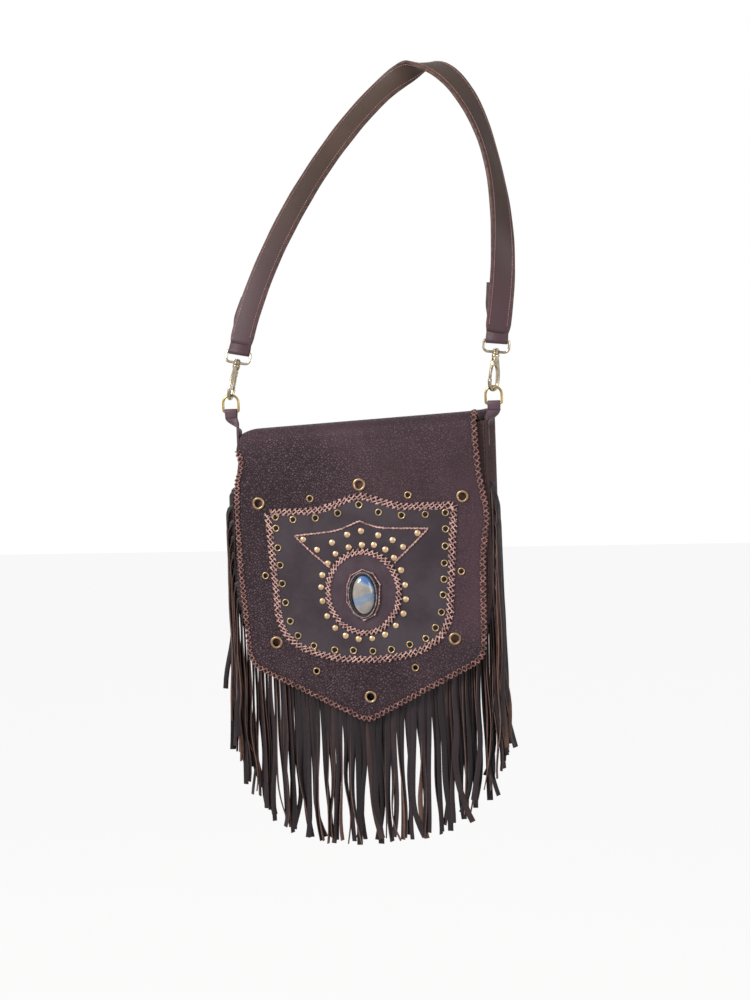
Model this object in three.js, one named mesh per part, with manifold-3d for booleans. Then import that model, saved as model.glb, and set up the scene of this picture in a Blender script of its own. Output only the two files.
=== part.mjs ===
// A fringed leather shoulder bag hanging from its strap: millimetres, +Z up, front towards -Y.
// The bag is laid out from the middle of its top edge and then moved so that the underside of the
// strap's crest, where the shoulder carries it, is the origin.
import * as THREE from 'three';
import { mergeVertices } from 'three/addons/utils/BufferGeometryUtils.js';
import Module from 'manifold-3d';

const manifold = await Module();
manifold.setup();

// Bag body.
const BODY_WIDTH = 300;
const BODY_HEIGHT = 292;
const BODY_DEPTH = 54;
const CORNER_RADIUS = 100;
const LEATHER = 2;
const GUSSET_TOP_DROP = 10;
const FRONT_TOP_DROP = 14;

// Fringe.
const FRINGE_START_DROP = 75;
const FRINGE_LENGTH = 190;
const FRINGE_PITCH = 7.6;
const STRIP_WIDTH = 5.4;
const STRIP_THICKNESS = 1.1;
const FRINGE_HEADER = 9;
const HEADER_THICKNESS = 1.5;

// Flap.
const FLAP_INSET = 10;
const FLAP_SIDE_BOW = 11;
const FLAP_CORNER_INSET = 11;
const FLAP_OVERHANG = 53;
const FLAP_POINT_SLOPE = 0.5;
const FLAP_CLEARANCE = 2.5;
const FOLD_RADIUS = 16;

// Patches and stone on the flap.
const PATCH_LEATHER = 1.6;
const SHIELD_MARGIN = 29;
const SHIELD_TOP_DROP = 101;
const SHIELD_PEAK = 15;
const SHIELD_POINT_MARGIN = 68.5;
const OVAL_WIDTH = 84;
const OVAL_HEIGHT = 95;
const STONE_WIDTH = 26;
const STONE_HEIGHT = 45;
const STONE_RISE = 8;
const BEZEL_BAND = 7;
const BEZEL_RISE = 3.4;

// Eyelets and studs.
const LARGE_EYELET = 15;
const LARGE_HOLE = 8.4;
const SMALL_EYELET = 9;
const SMALL_HOLE = 5;
const EYELET_RISE = 1.6;
const SHIELD_EYELETS = 30;
const EYELET_ROW_INSET = 11;
const STUD = 7;
const STUD_RISE = 2.2;
const OVAL_STUDS = 21;
const STUD_RING_GAP = 6;
const TOP_STUD_RISE = 69;
const WING_STUD_REACH = [17.5, 36, 50, 68];
const WING_STUD_RISE = [65.5, 58.5, 50, 64.5];

// Strap and hardware.
const STRAP_WIDTH = 28;
const STRAP_END_WIDTH = 25;
const STRAP_END_TAPER = 14;
const STRAP_THICKNESS = 4;
const STRAP_DROP = 412;
const CREST_SIDE = 67;
const CREST_DEPTH = 90;
const LOOP_WIRE = 3;
const RING_WIRE = 2.8;
const RING_WIDTH = 18.5;
const RING_LEG = 10;
const TAB_WIDTH = 14.5;
const TAB_PLY = 1.6;
const TAB_DEPTH = 24;
const TAB_NECK = 7;
const RING_OUTSET = 5;
const RING_FORWARD = 11;
const RING_RISE = 13.5;
const STRAP_TURN = THREE.MathUtils.degToRad(58);
const HOOK_TURN = { right: THREE.MathUtils.degToRad(60), left: THREE.MathUtils.degToRad(-90) };
const GATE_THICKNESS = 2.4;

const GAP = 0.3;
const CORNER_SEGMENTS = 6;
const HALF_WIDTH = BODY_WIDTH / 2;
const FRONT_Y = -BODY_DEPTH / 2;
const BACK_Y = BODY_DEPTH / 2;
const ACROSS = new THREE.Vector3(1, 0, 0);

const COLOURS = {
  body: 0x483a3d, flap: 0x4a3d42, patch: 0x47403f, fringe: 0x3d3539, strap: 0x62504b, brass: 0x9a8b74,
  eyelet: 0x9c8578, stone: 0x8f9499,
};

const group = new THREE.Group();
group.name = 'fringed_bag';
const bag = new THREE.Group();
group.add(bag);

function add(name, geometry, colour, matrix) {
  const metal = colour === 'brass' || colour === 'eyelet';
  const material = new THREE.MeshStandardMaterial({
    color: COLOURS[colour], roughness: metal ? 0.35 : 0.75, metalness: metal ? 1 : 0,
  });
  const mesh = new THREE.Mesh(geometry, material);
  mesh.name = name;
  if (matrix) mesh.applyMatrix4(matrix);
  bag.add(mesh);
}

function solid(geometry) {
  const loose = geometry.index ? geometry.toNonIndexed() : geometry;
  const bare = new THREE.BufferGeometry();
  bare.setAttribute('position', loose.getAttribute('position'));
  const welded = mergeVertices(bare, 1e-4);
  return new manifold.Manifold(new manifold.Mesh({
    numProp: 3,
    vertProperties: new Float32Array(welded.attributes.position.array),
    triVerts: new Uint32Array(welded.index.array),
  }));
}

function geometryOf(body) {
  const mesh = body.getMesh();
  const geometry = new THREE.BufferGeometry();
  geometry.setAttribute('position', new THREE.BufferAttribute(mesh.vertProperties, 3));
  geometry.setIndex(new THREE.BufferAttribute(mesh.triVerts, 1));
  geometry.computeVertexNormals();
  return geometry;
}

function joined(geometries) {
  return manifold.Manifold.union(geometries.map(solid));
}

// A skin over rings of points, closed end to end or capped at both ends.
function loft(rings, endless = false) {
  const n = rings[0].length;
  const points = rings.flat();
  const index = [];
  const spans = endless ? rings.length : rings.length - 1;
  for (let r = 0; r < spans; r++) {
    const next = (r + 1) % rings.length;
    for (let k = 0; k < n; k++) {
      const m = (k + 1) % n;
      index.push(r * n + k, r * n + m, next * n + m, r * n + k, next * n + m, next * n + k);
    }
  }
  if (!endless) {
    const last = points.length - n;
    for (let k = 1; k < n - 1; k++) {
      index.push(0, k + 1, k, last, last + k, last + k + 1);
    }
  }
  let volume = 0;
  for (let t = 0; t < index.length; t += 3) {
    const [a, b, c] = [points[index[t]], points[index[t + 1]], points[index[t + 2]]];
    volume += a.dot(new THREE.Vector3().crossVectors(b, c));
  }
  if (volume < 0) index.reverse();
  const geometry = new THREE.BufferGeometry().setFromPoints(points);
  geometry.setIndex(index);
  geometry.computeVertexNormals();
  return geometry;
}

// A flat piece drawn in X and Z, its front face at frontY.
function plate(shape, thickness, frontY, curveSegments = CORNER_SEGMENTS) {
  const geometry = new THREE.ExtrudeGeometry(shape, { depth: thickness, bevelEnabled: false, curveSegments });
  const upright = new THREE.Matrix4().makeBasis(
    ACROSS, new THREE.Vector3(0, 0, 1), new THREE.Vector3(0, -1, 0),
  );
  return geometry.applyMatrix4(upright).translate(0, frontY + thickness, 0);
}

// A piece drawn in Y and Z, run across X from -width / 2 to width / 2.
function run(shape, width, curveSegments = 4) {
  const geometry = new THREE.ExtrudeGeometry(shape, { depth: width, bevelEnabled: false, curveSegments });
  const sideways = new THREE.Matrix4().makeBasis(
    new THREE.Vector3(0, 1, 0), new THREE.Vector3(0, 0, 1), ACROSS,
  );
  return geometry.applyMatrix4(sideways).translate(-width / 2, 0, 0);
}

// A round piece about Y, its foot at y = 0 and its crown towards the front.
function turnedToFront(profile, segments) {
  const points = profile.map(([r, h]) => new THREE.Vector2(r, h));
  return new THREE.LatheGeometry(points, segments).rotateX(Math.PI);
}

function drill(diameter, length, x, z, y) {
  const sides = diameter > SMALL_EYELET ? 10 : 7;
  const radius = diameter / 2 / Math.cos(Math.PI / sides);
  return new THREE.CylinderGeometry(radius, radius, length, sides).translate(x, y, z);
}

// Rings of an oval: each step is [half width, half height, y].
function ovalRings(steps, segments) {
  return steps.map(([a, b, y]) => Array.from({ length: segments }, (_, k) => {
    const t = 2 * Math.PI * k / segments;
    return new THREE.Vector3(a * Math.cos(t), y, b * Math.sin(t));
  }));
}

// Body outline, open or closed at the top, a given distance inside the outer seam.
function bodyOutline(top, inset) {
  const half = HALF_WIDTH - inset;
  const radius = CORNER_RADIUS - inset;
  const cornerZ = CORNER_RADIUS - BODY_HEIGHT;
  const shape = new THREE.Shape();
  shape.moveTo(half, top);
  shape.lineTo(-half, top);
  shape.lineTo(-half, cornerZ);
  shape.absarc(CORNER_RADIUS - HALF_WIDTH, cornerZ, radius, Math.PI, 1.5 * Math.PI);
  shape.absarc(HALF_WIDTH - CORNER_RADIUS, cornerZ, radius, 1.5 * Math.PI, 2 * Math.PI);
  return shape;
}

function band(top, width, thickness, frontY) {
  const outer = solid(plate(bodyOutline(top, 0), thickness, frontY));
  const inner = solid(plate(bodyOutline(top + 1, width), thickness + 2, frontY - 1));
  return outer.subtract(inner);
}

add('front_panel', plate(bodyOutline(-FRONT_TOP_DROP, 0), LEATHER, FRONT_Y), 'body');
const hingeZ = 0;
const backTop = hingeZ - LEATHER / 2 - GAP;
add('back_panel', plate(bodyOutline(backTop, 0), LEATHER, BACK_Y - LEATHER), 'body');
const headerY = FRONT_Y + LEATHER + GAP;
const gussetFront = headerY + HEADER_THICKNESS + GAP;
const gussetDepth = BACK_Y - LEATHER - GAP - gussetFront;
add('gusset', geometryOf(band(-GUSSET_TOP_DROP, LEATHER, gussetDepth, gussetFront)), 'body');

// Fringe: strips leave the front seam at right angles, then turn and hang.
const sideRun = BODY_HEIGHT - CORNER_RADIUS - FRINGE_START_DROP;
const cornerRun = Math.PI * CORNER_RADIUS / 2;
const bottomRun = 2 * (HALF_WIDTH - CORNER_RADIUS);
const seamRun = 2 * (sideRun + cornerRun) + bottomRun;

function seamPoint(along) {
  const side = along < seamRun / 2 ? -1 : 1;
  const s = Math.min(along, seamRun - along);
  const angle = THREE.MathUtils.clamp((s - sideRun) / CORNER_RADIUS, 0, Math.PI / 2);
  const level = Math.max(0, s - sideRun - cornerRun);
  const straight = Math.min(s, sideRun);
  const x = HALF_WIDTH - CORNER_RADIUS * (1 - Math.cos(angle)) - level;
  const z = -FRINGE_START_DROP - straight - CORNER_RADIUS * Math.sin(angle);
  const out = new THREE.Vector3(side * Math.cos(angle), 0, -Math.sin(angle));
  return { at: new THREE.Vector3(side * x, 0, z), out, side };
}

const stripY = headerY + HEADER_THICKNESS / 2;
const stripCount = 2 * Math.round(seamRun / FRINGE_PITCH / 2);
const COLUMNS = 4;
const COLUMN_GAP = 0.6;
const ROOT_DEPTH = 1.2;
const EDGE_REACH = 1.2;
const SIDE_STAND = 2.2;
const HEAP_STEP = 0.28;
const KNEE_DROP = 7;
const END_SWAY = 1.5;
const END_UNEVEN = 2.5;

function crossSection(centre, wide, ahead, width, thickness) {
  const thin = new THREE.Vector3().crossVectors(ahead, wide).normalize().multiplyScalar(thickness / 2);
  const half = wide.clone().normalize().multiplyScalar(width / 2);
  return [[1, 1], [-1, 1], [-1, -1], [1, -1]].map(
    ([a, b]) => centre.clone().addScaledVector(half, a).addScaledVector(thin, b),
  );
}

function stripGeometry(rank) {
  const along = (rank + 0.5) * seamRun / stripCount;
  const { at, out, side } = seamPoint(along);
  const fromEnd = Math.min(rank, stripCount - 1 - rank);
  const turned = Math.abs(out.x);
  const scatter = Math.sin(2.4 * rank);
  const heap = Math.max(0, stripCount * (sideRun + 0.45 * cornerRun) / seamRun - fromEnd) * HEAP_STEP;
  const outward = turned * (SIDE_STAND + heap);
  const column = (fromEnd % COLUMNS) * (STRIP_WIDTH + COLUMN_GAP) * turned * turned;
  const down = new THREE.Vector3(0, 0, -1);
  const root = at.clone().addScaledVector(out, -ROOT_DEPTH).setY(stripY);
  const alongSeam = new THREE.Vector3(-out.z, 0, out.x);
  const hangX = at.x + side * outward;
  const endZ = at.z - FRINGE_LENGTH + outward + END_UNEVEN * scatter;
  const end = new THREE.Vector3(hangX + END_SWAY * scatter, stripY + column, endZ);
  const rings = [crossSection(root, alongSeam, out, STRIP_WIDTH, STRIP_THICKNESS)];
  const flat = new THREE.Vector3(1 - turned, turned * side, 0).normalize();
  if (turned > 0.25) {
    const edge = at.clone().addScaledVector(out, EDGE_REACH).setY(stripY);
    rings.push(crossSection(edge, alongSeam, out, STRIP_WIDTH, STRIP_THICKNESS));
    const knee = new THREE.Vector3(hangX, stripY + column, at.z - KNEE_DROP - outward / 2);
    rings.push(crossSection(knee, flat, down, STRIP_WIDTH, STRIP_THICKNESS));
  }
  rings.push(crossSection(end, turned > 0.25 ? flat : alongSeam, down, STRIP_WIDTH, STRIP_THICKNESS));
  return loft(rings);
}

// The fringe is sewn on in three lengths that meet at the rounded corners, between two strips.
const header = band(-FRINGE_START_DROP, FRINGE_HEADER, HEADER_THICKNESS, headerY);
const splitRank = Math.round(stripCount * (sideRun + 0.42 * cornerRun) / seamRun);
const splitAngle = (splitRank * seamRun / stripCount - sideRun) / CORNER_RADIUS;
const FAR = 2000;

function sideSpace(side, gap) {
  const space = new THREE.BoxGeometry(FAR, FAR, FAR).translate(0, 0, FAR / 2 + gap);
  space.rotateY(side * splitAngle);
  return solid(space.translate(side * (HALF_WIDTH - CORNER_RADIUS), 0, CORNER_RADIUS - BODY_HEIGHT));
}

function fringe(name, fromRank, toRank, headerPart) {
  const strips = [];
  for (let rank = fromRank; rank < toRank; rank++) {
    strips.push(stripGeometry(rank));
  }
  add(name, geometryOf(joined(strips).add(headerPart)), 'fringe');
}

fringe('fringe_left', 0, splitRank, header.intersect(sideSpace(-1, GAP / 2)));
fringe('fringe_right', stripCount - splitRank, stripCount, header.intersect(sideSpace(1, GAP / 2)));
const lowHeader = header.subtract(sideSpace(-1, -GAP / 2)).subtract(sideSpace(1, -GAP / 2));
fringe('fringe_bottom', splitRank, stripCount - splitRank, lowHeader);

// Flap: a bent sheet cut to its outline, with holes for the eyelets.
const flapDrop = BODY_HEIGHT + FLAP_OVERHANG;
const flapInner = FRONT_Y - FLAP_CLEARANCE;
const flapFront = flapInner - LEATHER;
const flapTopHalf = HALF_WIDTH - FLAP_INSET;
const flapCornerHalf = HALF_WIDTH - FLAP_CORNER_INSET;
const flapCornerDrop = flapDrop - FLAP_POINT_SLOPE * flapCornerHalf;
const CORNER_ROUND = 18;

function flapOutline() {
  const slant = new THREE.Vector2(1, FLAP_POINT_SLOPE).normalize();
  const low = -flapCornerDrop;
  const shape = new THREE.Shape();
  shape.moveTo(-flapTopHalf, FOLD_RADIUS);
  shape.lineTo(-flapTopHalf, 0);
  shape.quadraticCurveTo(-flapTopHalf - FLAP_SIDE_BOW, low / 2, -flapCornerHalf, low + CORNER_ROUND);
  shape.quadraticCurveTo(
    -flapCornerHalf, low, -flapCornerHalf + CORNER_ROUND * slant.x, low - CORNER_ROUND * slant.y,
  );
  shape.lineTo(-CORNER_ROUND * slant.x / 2, -flapDrop + CORNER_ROUND * slant.y / 2);
  shape.quadraticCurveTo(0, -flapDrop, CORNER_ROUND * slant.x / 2, -flapDrop + CORNER_ROUND * slant.y / 2);
  shape.lineTo(flapCornerHalf - CORNER_ROUND * slant.x, low - CORNER_ROUND * slant.y);
  shape.quadraticCurveTo(flapCornerHalf, low, flapCornerHalf, low + CORNER_ROUND);
  shape.quadraticCurveTo(flapTopHalf + FLAP_SIDE_BOW, low / 2, flapTopHalf, 0);
  shape.lineTo(flapTopHalf, FOLD_RADIUS);
  return shape;
}

function flapSection() {
  const half = LEATHER / 2;
  const hingeY = BACK_Y - half;
  const turnY = flapFront + half + FOLD_RADIUS;
  const shape = new THREE.Shape();
  shape.moveTo(hingeY, hingeZ + half);
  shape.lineTo(turnY, hingeZ + half);
  shape.absarc(turnY, hingeZ - FOLD_RADIUS, FOLD_RADIUS + half, Math.PI / 2, Math.PI);
  shape.lineTo(flapFront, -flapDrop - FOLD_RADIUS);
  shape.lineTo(flapInner, -flapDrop - FOLD_RADIUS);
  shape.lineTo(flapInner, hingeZ - FOLD_RADIUS);
  shape.absarc(turnY, hingeZ - FOLD_RADIUS, FOLD_RADIUS - half, Math.PI, Math.PI / 2, true);
  shape.lineTo(hingeY, hingeZ - half);
  shape.absarc(hingeY, hingeZ, half, -Math.PI / 2, Math.PI / 2);
  return shape;
}

// Shield patch, its outline a given distance inside the edge.
const shieldHalf = flapTopHalf - SHIELD_MARGIN;
const shieldPoint = flapDrop - SHIELD_POINT_MARGIN;
const shieldHeight = shieldPoint - SHIELD_TOP_DROP;
const SIDE_TAPER = 0.072;
const SIDE_SHARE = 0.68;
const sideDrop = SIDE_SHARE * shieldHeight;

function shieldOutline(inset) {
  const half = shieldHalf - inset;
  const top = -SHIELD_TOP_DROP - inset;
  const point = -shieldPoint + inset;
  const sideZ = -SHIELD_TOP_DROP - sideDrop;
  const sideHalf = half - SIDE_TAPER * sideDrop;
  const shape = new THREE.Shape();
  shape.moveTo(0, top + SHIELD_PEAK);
  shape.bezierCurveTo(-0.16 * half, top + 0.85 * SHIELD_PEAK, -0.32 * half, top, -0.55 * half, top);
  shape.lineTo(-half, top);
  shape.lineTo(-sideHalf, sideZ);
  const bulgeZ = sideZ - 0.665 * (sideZ - point);
  shape.bezierCurveTo(-0.97 * sideHalf, bulgeZ, -0.62 * sideHalf, point + 1, 0, point);
  shape.bezierCurveTo(0.62 * sideHalf, point + 1, 0.97 * sideHalf, bulgeZ, sideHalf, sideZ);
  shape.lineTo(half, top);
  shape.lineTo(0.55 * half, top);
  shape.bezierCurveTo(0.32 * half, top, 0.16 * half, top + 0.85 * SHIELD_PEAK, 0, top + SHIELD_PEAK);
  return shape;
}

const ovalZ = -SHIELD_TOP_DROP - 0.55 * shieldHeight;
const stoneZ = ovalZ - 3;

// Studs: a ring round the oval patch, and a row that follows the wings above it.
function studSpots() {
  const spots = [];
  for (let k = 0; k < OVAL_STUDS; k++) {
    const t = Math.PI / 2 + 2 * Math.PI * k / OVAL_STUDS;
    const x = (OVAL_WIDTH / 2 + STUD_RING_GAP) * Math.cos(t);
    spots.push([x, ovalZ + (OVAL_HEIGHT / 2 + STUD_RING_GAP) * Math.sin(t)]);
  }
  spots.push([0, ovalZ + TOP_STUD_RISE]);
  WING_STUD_REACH.forEach((x, k) => {
    const z = ovalZ + WING_STUD_RISE[k];
    spots.push([x, z], [-x, z]);
  });
  return spots;
}

const shieldFront = flapFront - GAP - PATCH_LEATHER;
const FLANGE = 1.2;
const SUNK = 0.4;

function shieldPatch() {
  const base = solid(plate(shieldOutline(0), PATCH_LEATHER, shieldFront));
  const spots = shieldOutline(EYELET_ROW_INSET).getSpacedPoints(SHIELD_EYELETS).slice(0, SHIELD_EYELETS);
  const flanges = spots.map((p) => new THREE.CylinderGeometry(
    SMALL_EYELET / 2, 0.38 * SMALL_EYELET, FLANGE + SUNK, 7,
  ).translate(p.x, shieldFront - (FLANGE - SUNK) / 2, p.y));
  const domes = studSpots().map(([x, z]) => turnedToFront(
    [[0, -SUNK], [STUD / 2, -SUNK], [0.36 * STUD, 0.7 * STUD_RISE], [0, STUD_RISE]], 6,
  ).translate(x, shieldFront, z));
  const holes = spots.map((p) => drill(SMALL_HOLE, 4 * PATCH_LEATHER, p.x, p.y, shieldFront));
  return base.add(joined([...flanges, ...domes])).subtract(joined(holes));
}

add('shield_patch', geometryOf(shieldPatch()), 'patch');

const ovalFront = shieldFront - GAP - PATCH_LEATHER;
const ovalSteps = [[OVAL_WIDTH / 2, OVAL_HEIGHT / 2, ovalFront + PATCH_LEATHER],
  [OVAL_WIDTH / 2, OVAL_HEIGHT / 2, ovalFront]];
add('oval_patch', loft(ovalRings(ovalSteps, 28)).translate(0, 0, ovalZ), 'patch');

const seatY = ovalFront - GAP;
const stoneHalf = [STONE_WIDTH / 2, STONE_HEIGHT / 2];
const stoneSteps = [[1, 0], [1, 0.25], [0.86, 0.65], [0.5, 0.93], [0.1, 1]].map(
  ([share, rise]) => [stoneHalf[0] * share, stoneHalf[1] * share, seatY - STONE_RISE * rise],
);
add('stone', loft(ovalRings(stoneSteps, 24)).translate(0, 0, stoneZ), 'stone');

const bezelInner = stoneHalf.map((v) => v + GAP);
const bezelSteps = [[0, 0], [0, 0.7], [0.45, 1], [1, 0]].map(([share, rise]) => [
  bezelInner[0] + BEZEL_BAND * share, bezelInner[1] + BEZEL_BAND * share, seatY - BEZEL_RISE * rise,
]);
add('stone_bezel', loft(ovalRings(bezelSteps, 24), true).translate(0, 0, stoneZ), 'patch');

// Eyelets of the flap: a row of six large and six small ones round the shield.
function flapHalfAt(drop) {
  const t = drop / (flapCornerDrop - CORNER_ROUND);
  const mid = 2 * t * (1 - t) * (flapTopHalf + FLAP_SIDE_BOW);
  return (1 - t) ** 2 * flapTopHalf + mid + t * t * flapCornerHalf;
}

function shieldHalfAt(drop) {
  return shieldHalf - SIDE_TAPER * (drop - SHIELD_TOP_DROP);
}

const BESIDE_SHARE = 0.25;

function besideShield(drop) {
  return shieldHalfAt(drop) + BESIDE_SHARE * (flapHalfAt(drop) - shieldHalfAt(drop));
}

const upperDrop = SHIELD_TOP_DROP - LARGE_EYELET / 2 - 2;
const middleDrop = SHIELD_TOP_DROP + 0.43 * shieldHeight;
const LOW_EYELET_RISE = 21.5;
const POINT_EYELET_RISE = 26;
const CORNER_EYELET_INSET = 34;
const lowerDrop = flapCornerDrop - LOW_EYELET_RISE;
const pointDrop = flapDrop - POINT_EYELET_RISE;
const largeSpots = [
  ['top', 0, SHIELD_TOP_DROP - SHIELD_PEAK - LARGE_EYELET / 2 - 5],
  ['upper_left', -besideShield(upperDrop), upperDrop],
  ['upper_right', besideShield(upperDrop), upperDrop],
  ['lower_left', CORNER_EYELET_INSET - flapCornerHalf, lowerDrop],
  ['lower_right', flapCornerHalf - CORNER_EYELET_INSET, lowerDrop],
  ['point', 0, pointDrop],
];
const aboveX = 0.52 * shieldHalf;
const aboveDrop = SHIELD_TOP_DROP - SMALL_EYELET / 2 - 7;
const BELOW_RISE = 9.5;
const belowDrop = (shieldPoint + flapDrop - FLAP_POINT_SLOPE * aboveX) / 2 - BELOW_RISE;
const smallSpots = [
  ['above_left', -aboveX, aboveDrop],
  ['above_right', aboveX, aboveDrop],
  ['beside_left', -besideShield(middleDrop), middleDrop],
  ['beside_right', besideShield(middleDrop), middleDrop],
  ['below_left', -aboveX, belowDrop],
  ['below_right', aboveX, belowDrop],
];
const BARREL = 0.8;

function eyelet(outside, hole, segments) {
  const back = -LEATHER - GAP;
  const barrel = hole / 2 + BARREL;
  const foot = [hole / 2, back - 2 * GAP];
  const crown = (outside + hole) / 4;
  const profile = [foot, [barrel + 3 * GAP, back - GAP], [barrel, back], [barrel, GAP],
    [outside / 2, GAP], [crown, EYELET_RISE], [hole / 2, 0.7 * EYELET_RISE], foot];
  return turnedToFront(profile, segments);
}

const sheet = solid(run(flapSection(), BODY_WIDTH)).intersect(
  solid(plate(flapOutline(), 2 * BODY_DEPTH + 4 * FOLD_RADIUS, -BODY_DEPTH - 2 * FOLD_RADIUS, 5)),
);
const flapHoles = [[largeSpots, LARGE_HOLE], [smallSpots, SMALL_HOLE]].flatMap(([spots, hole]) => spots.map(
  ([, x, drop]) => drill(hole + 2 * (BARREL + GAP), 4 * LEATHER, x, -drop, flapInner),
));
add('flap', geometryOf(sheet.subtract(joined(flapHoles))), 'flap');
for (const [place, x, drop] of largeSpots) {
  const geometry = eyelet(LARGE_EYELET, LARGE_HOLE, 8);
  add(`large_eyelet_${place}`, geometry.translate(x, flapFront, -drop), 'eyelet');
}
for (const [place, x, drop] of smallSpots) {
  const geometry = eyelet(SMALL_EYELET, SMALL_HOLE, 7);
  add(`small_eyelet_${place}`, geometry.translate(x, flapFront, -drop), 'eyelet');
}

// Snap hook, drawn hanging from the bar of its loop at z = 0.
const LOOP_INSIDE = STRAP_END_WIDTH + 1;
const LOOP_HEIGHT = 13;
const BOSS_HEIGHT = 5;
const BOSS_RADIUS = 4.2;
const POST_RADIUS = 1.9;
const HOOK_TOP = LOOP_HEIGHT + BOSS_HEIGHT / 2 + GAP;
const HOOK_HEIGHT = 42;
const HOOK_THICKNESS = 4.2;
const HOOK_BEVEL = 1.2;
const EYE_TOP = 28.5;
const EYE_BOTTOM = HOOK_TOP + HOOK_HEIGHT - 4;
const PIVOT = new THREE.Vector2(-4, -24);
const PIN_RADIUS = 0.9;
const NOSE_TOP = 43.8;
const SEAT_GAP = 0.6;
const RING_SEAT = EYE_BOTTOM - RING_WIRE / 2 - SEAT_GAP;

// A closed round wire along a flat path in X and Z.
function wire(path, diameter, sides) {
  const n = path.length;
  const normal = new THREE.Vector3(0, 1, 0);
  const rings = path.map((p, k) => {
    const before = path[(k + n - 1) % n];
    const after = path[(k + 1) % n];
    const ahead = new THREE.Vector2().subVectors(after, before).normalize();
    const beside = new THREE.Vector3(-ahead.y, 0, ahead.x);
    return Array.from({ length: sides }, (_, j) => {
      const t = 2 * Math.PI * (j + 0.5) / sides;
      return new THREE.Vector3(p.x, 0, p.y)
        .addScaledVector(beside, diameter / 2 * Math.cos(t))
        .addScaledVector(normal, diameter / 2 * Math.sin(t));
    });
  });
  return loft(rings, true);
}

function arc(cx, cz, radius, from, to, steps) {
  return Array.from({ length: steps + 1 }, (_, k) => {
    const t = from + (to - from) * k / steps;
    return new THREE.Vector2(cx + radius * Math.cos(t), cz + radius * Math.sin(t));
  });
}

const loopHalf = (LOOP_INSIDE + LOOP_WIRE) / 2;
const LOOP_ROUND = 5;
const BAR_ROUND = 2;

function loopGeometry() {
  const lowX = loopHalf - LOOP_ROUND;
  const lowZ = LOOP_ROUND - LOOP_HEIGHT;
  const highX = loopHalf - BAR_ROUND;
  const path = [
    ...arc(lowX, lowZ, LOOP_ROUND, -Math.PI / 2, 0, 3),
    ...arc(highX, -BAR_ROUND, BAR_ROUND, 0, Math.PI / 2, 2),
    ...arc(-highX, -BAR_ROUND, BAR_ROUND, Math.PI / 2, Math.PI, 2),
    ...arc(-lowX, lowZ, LOOP_ROUND, Math.PI, 1.5 * Math.PI, 3),
  ];
  const boss = new THREE.CylinderGeometry(BOSS_RADIUS, BOSS_RADIUS, BOSS_HEIGHT, 10).rotateX(Math.PI / 2);
  const bore = new THREE.CylinderGeometry(POST_RADIUS + GAP, POST_RADIUS + GAP, 3 * BOSS_HEIGHT, 9);
  bore.rotateX(Math.PI / 2).translate(0, 0, -LOOP_HEIGHT);
  const whole = joined([wire(path, LOOP_WIRE, 7), boss.translate(0, 0, -LOOP_HEIGHT)]);
  return geometryOf(whole.subtract(solid(bore)));
}

const HOOK_HALF = 9;
const EYE_HALF = 5;
const SLOT_REACH = 1.4;

function hookOutline() {
  const top = -HOOK_TOP - 2;
  const low = -HOOK_TOP - HOOK_HEIGHT;
  const widest = low + 14;
  const shape = new THREE.Shape();
  shape.moveTo(-4, top);
  shape.bezierCurveTo(-6.5, top - 8, -HOOK_HALF, widest + 8, -HOOK_HALF, widest);
  shape.bezierCurveTo(-HOOK_HALF, low + 5, -5, low, 0, low);
  shape.bezierCurveTo(5, low, HOOK_HALF, low + 5, HOOK_HALF, widest);
  shape.bezierCurveTo(HOOK_HALF, widest + 8, 6.5, top - 8, 4, top);
  const eye = new THREE.Path();
  const belly = -EYE_BOTTOM + 6;
  eye.moveTo(0, -EYE_TOP);
  eye.bezierCurveTo(3.6, -EYE_TOP - 1, EYE_HALF, belly + 10, EYE_HALF, belly);
  eye.bezierCurveTo(EYE_HALF, belly - 4, 3.2, -EYE_BOTTOM, 0, -EYE_BOTTOM);
  eye.bezierCurveTo(-3.2, -EYE_BOTTOM, -EYE_HALF, belly - 4, -EYE_HALF, belly);
  eye.bezierCurveTo(-EYE_HALF, belly + 10, -3.6, -EYE_TOP - 1, 0, -EYE_TOP);
  shape.holes.push(eye);
  return shape;
}

function box(fromX, toX, depth, fromZ, toZ) {
  return new THREE.BoxGeometry(toX - fromX, depth, toZ - fromZ)
    .translate((fromX + toX) / 2, 0, (fromZ + toZ) / 2);
}

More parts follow.
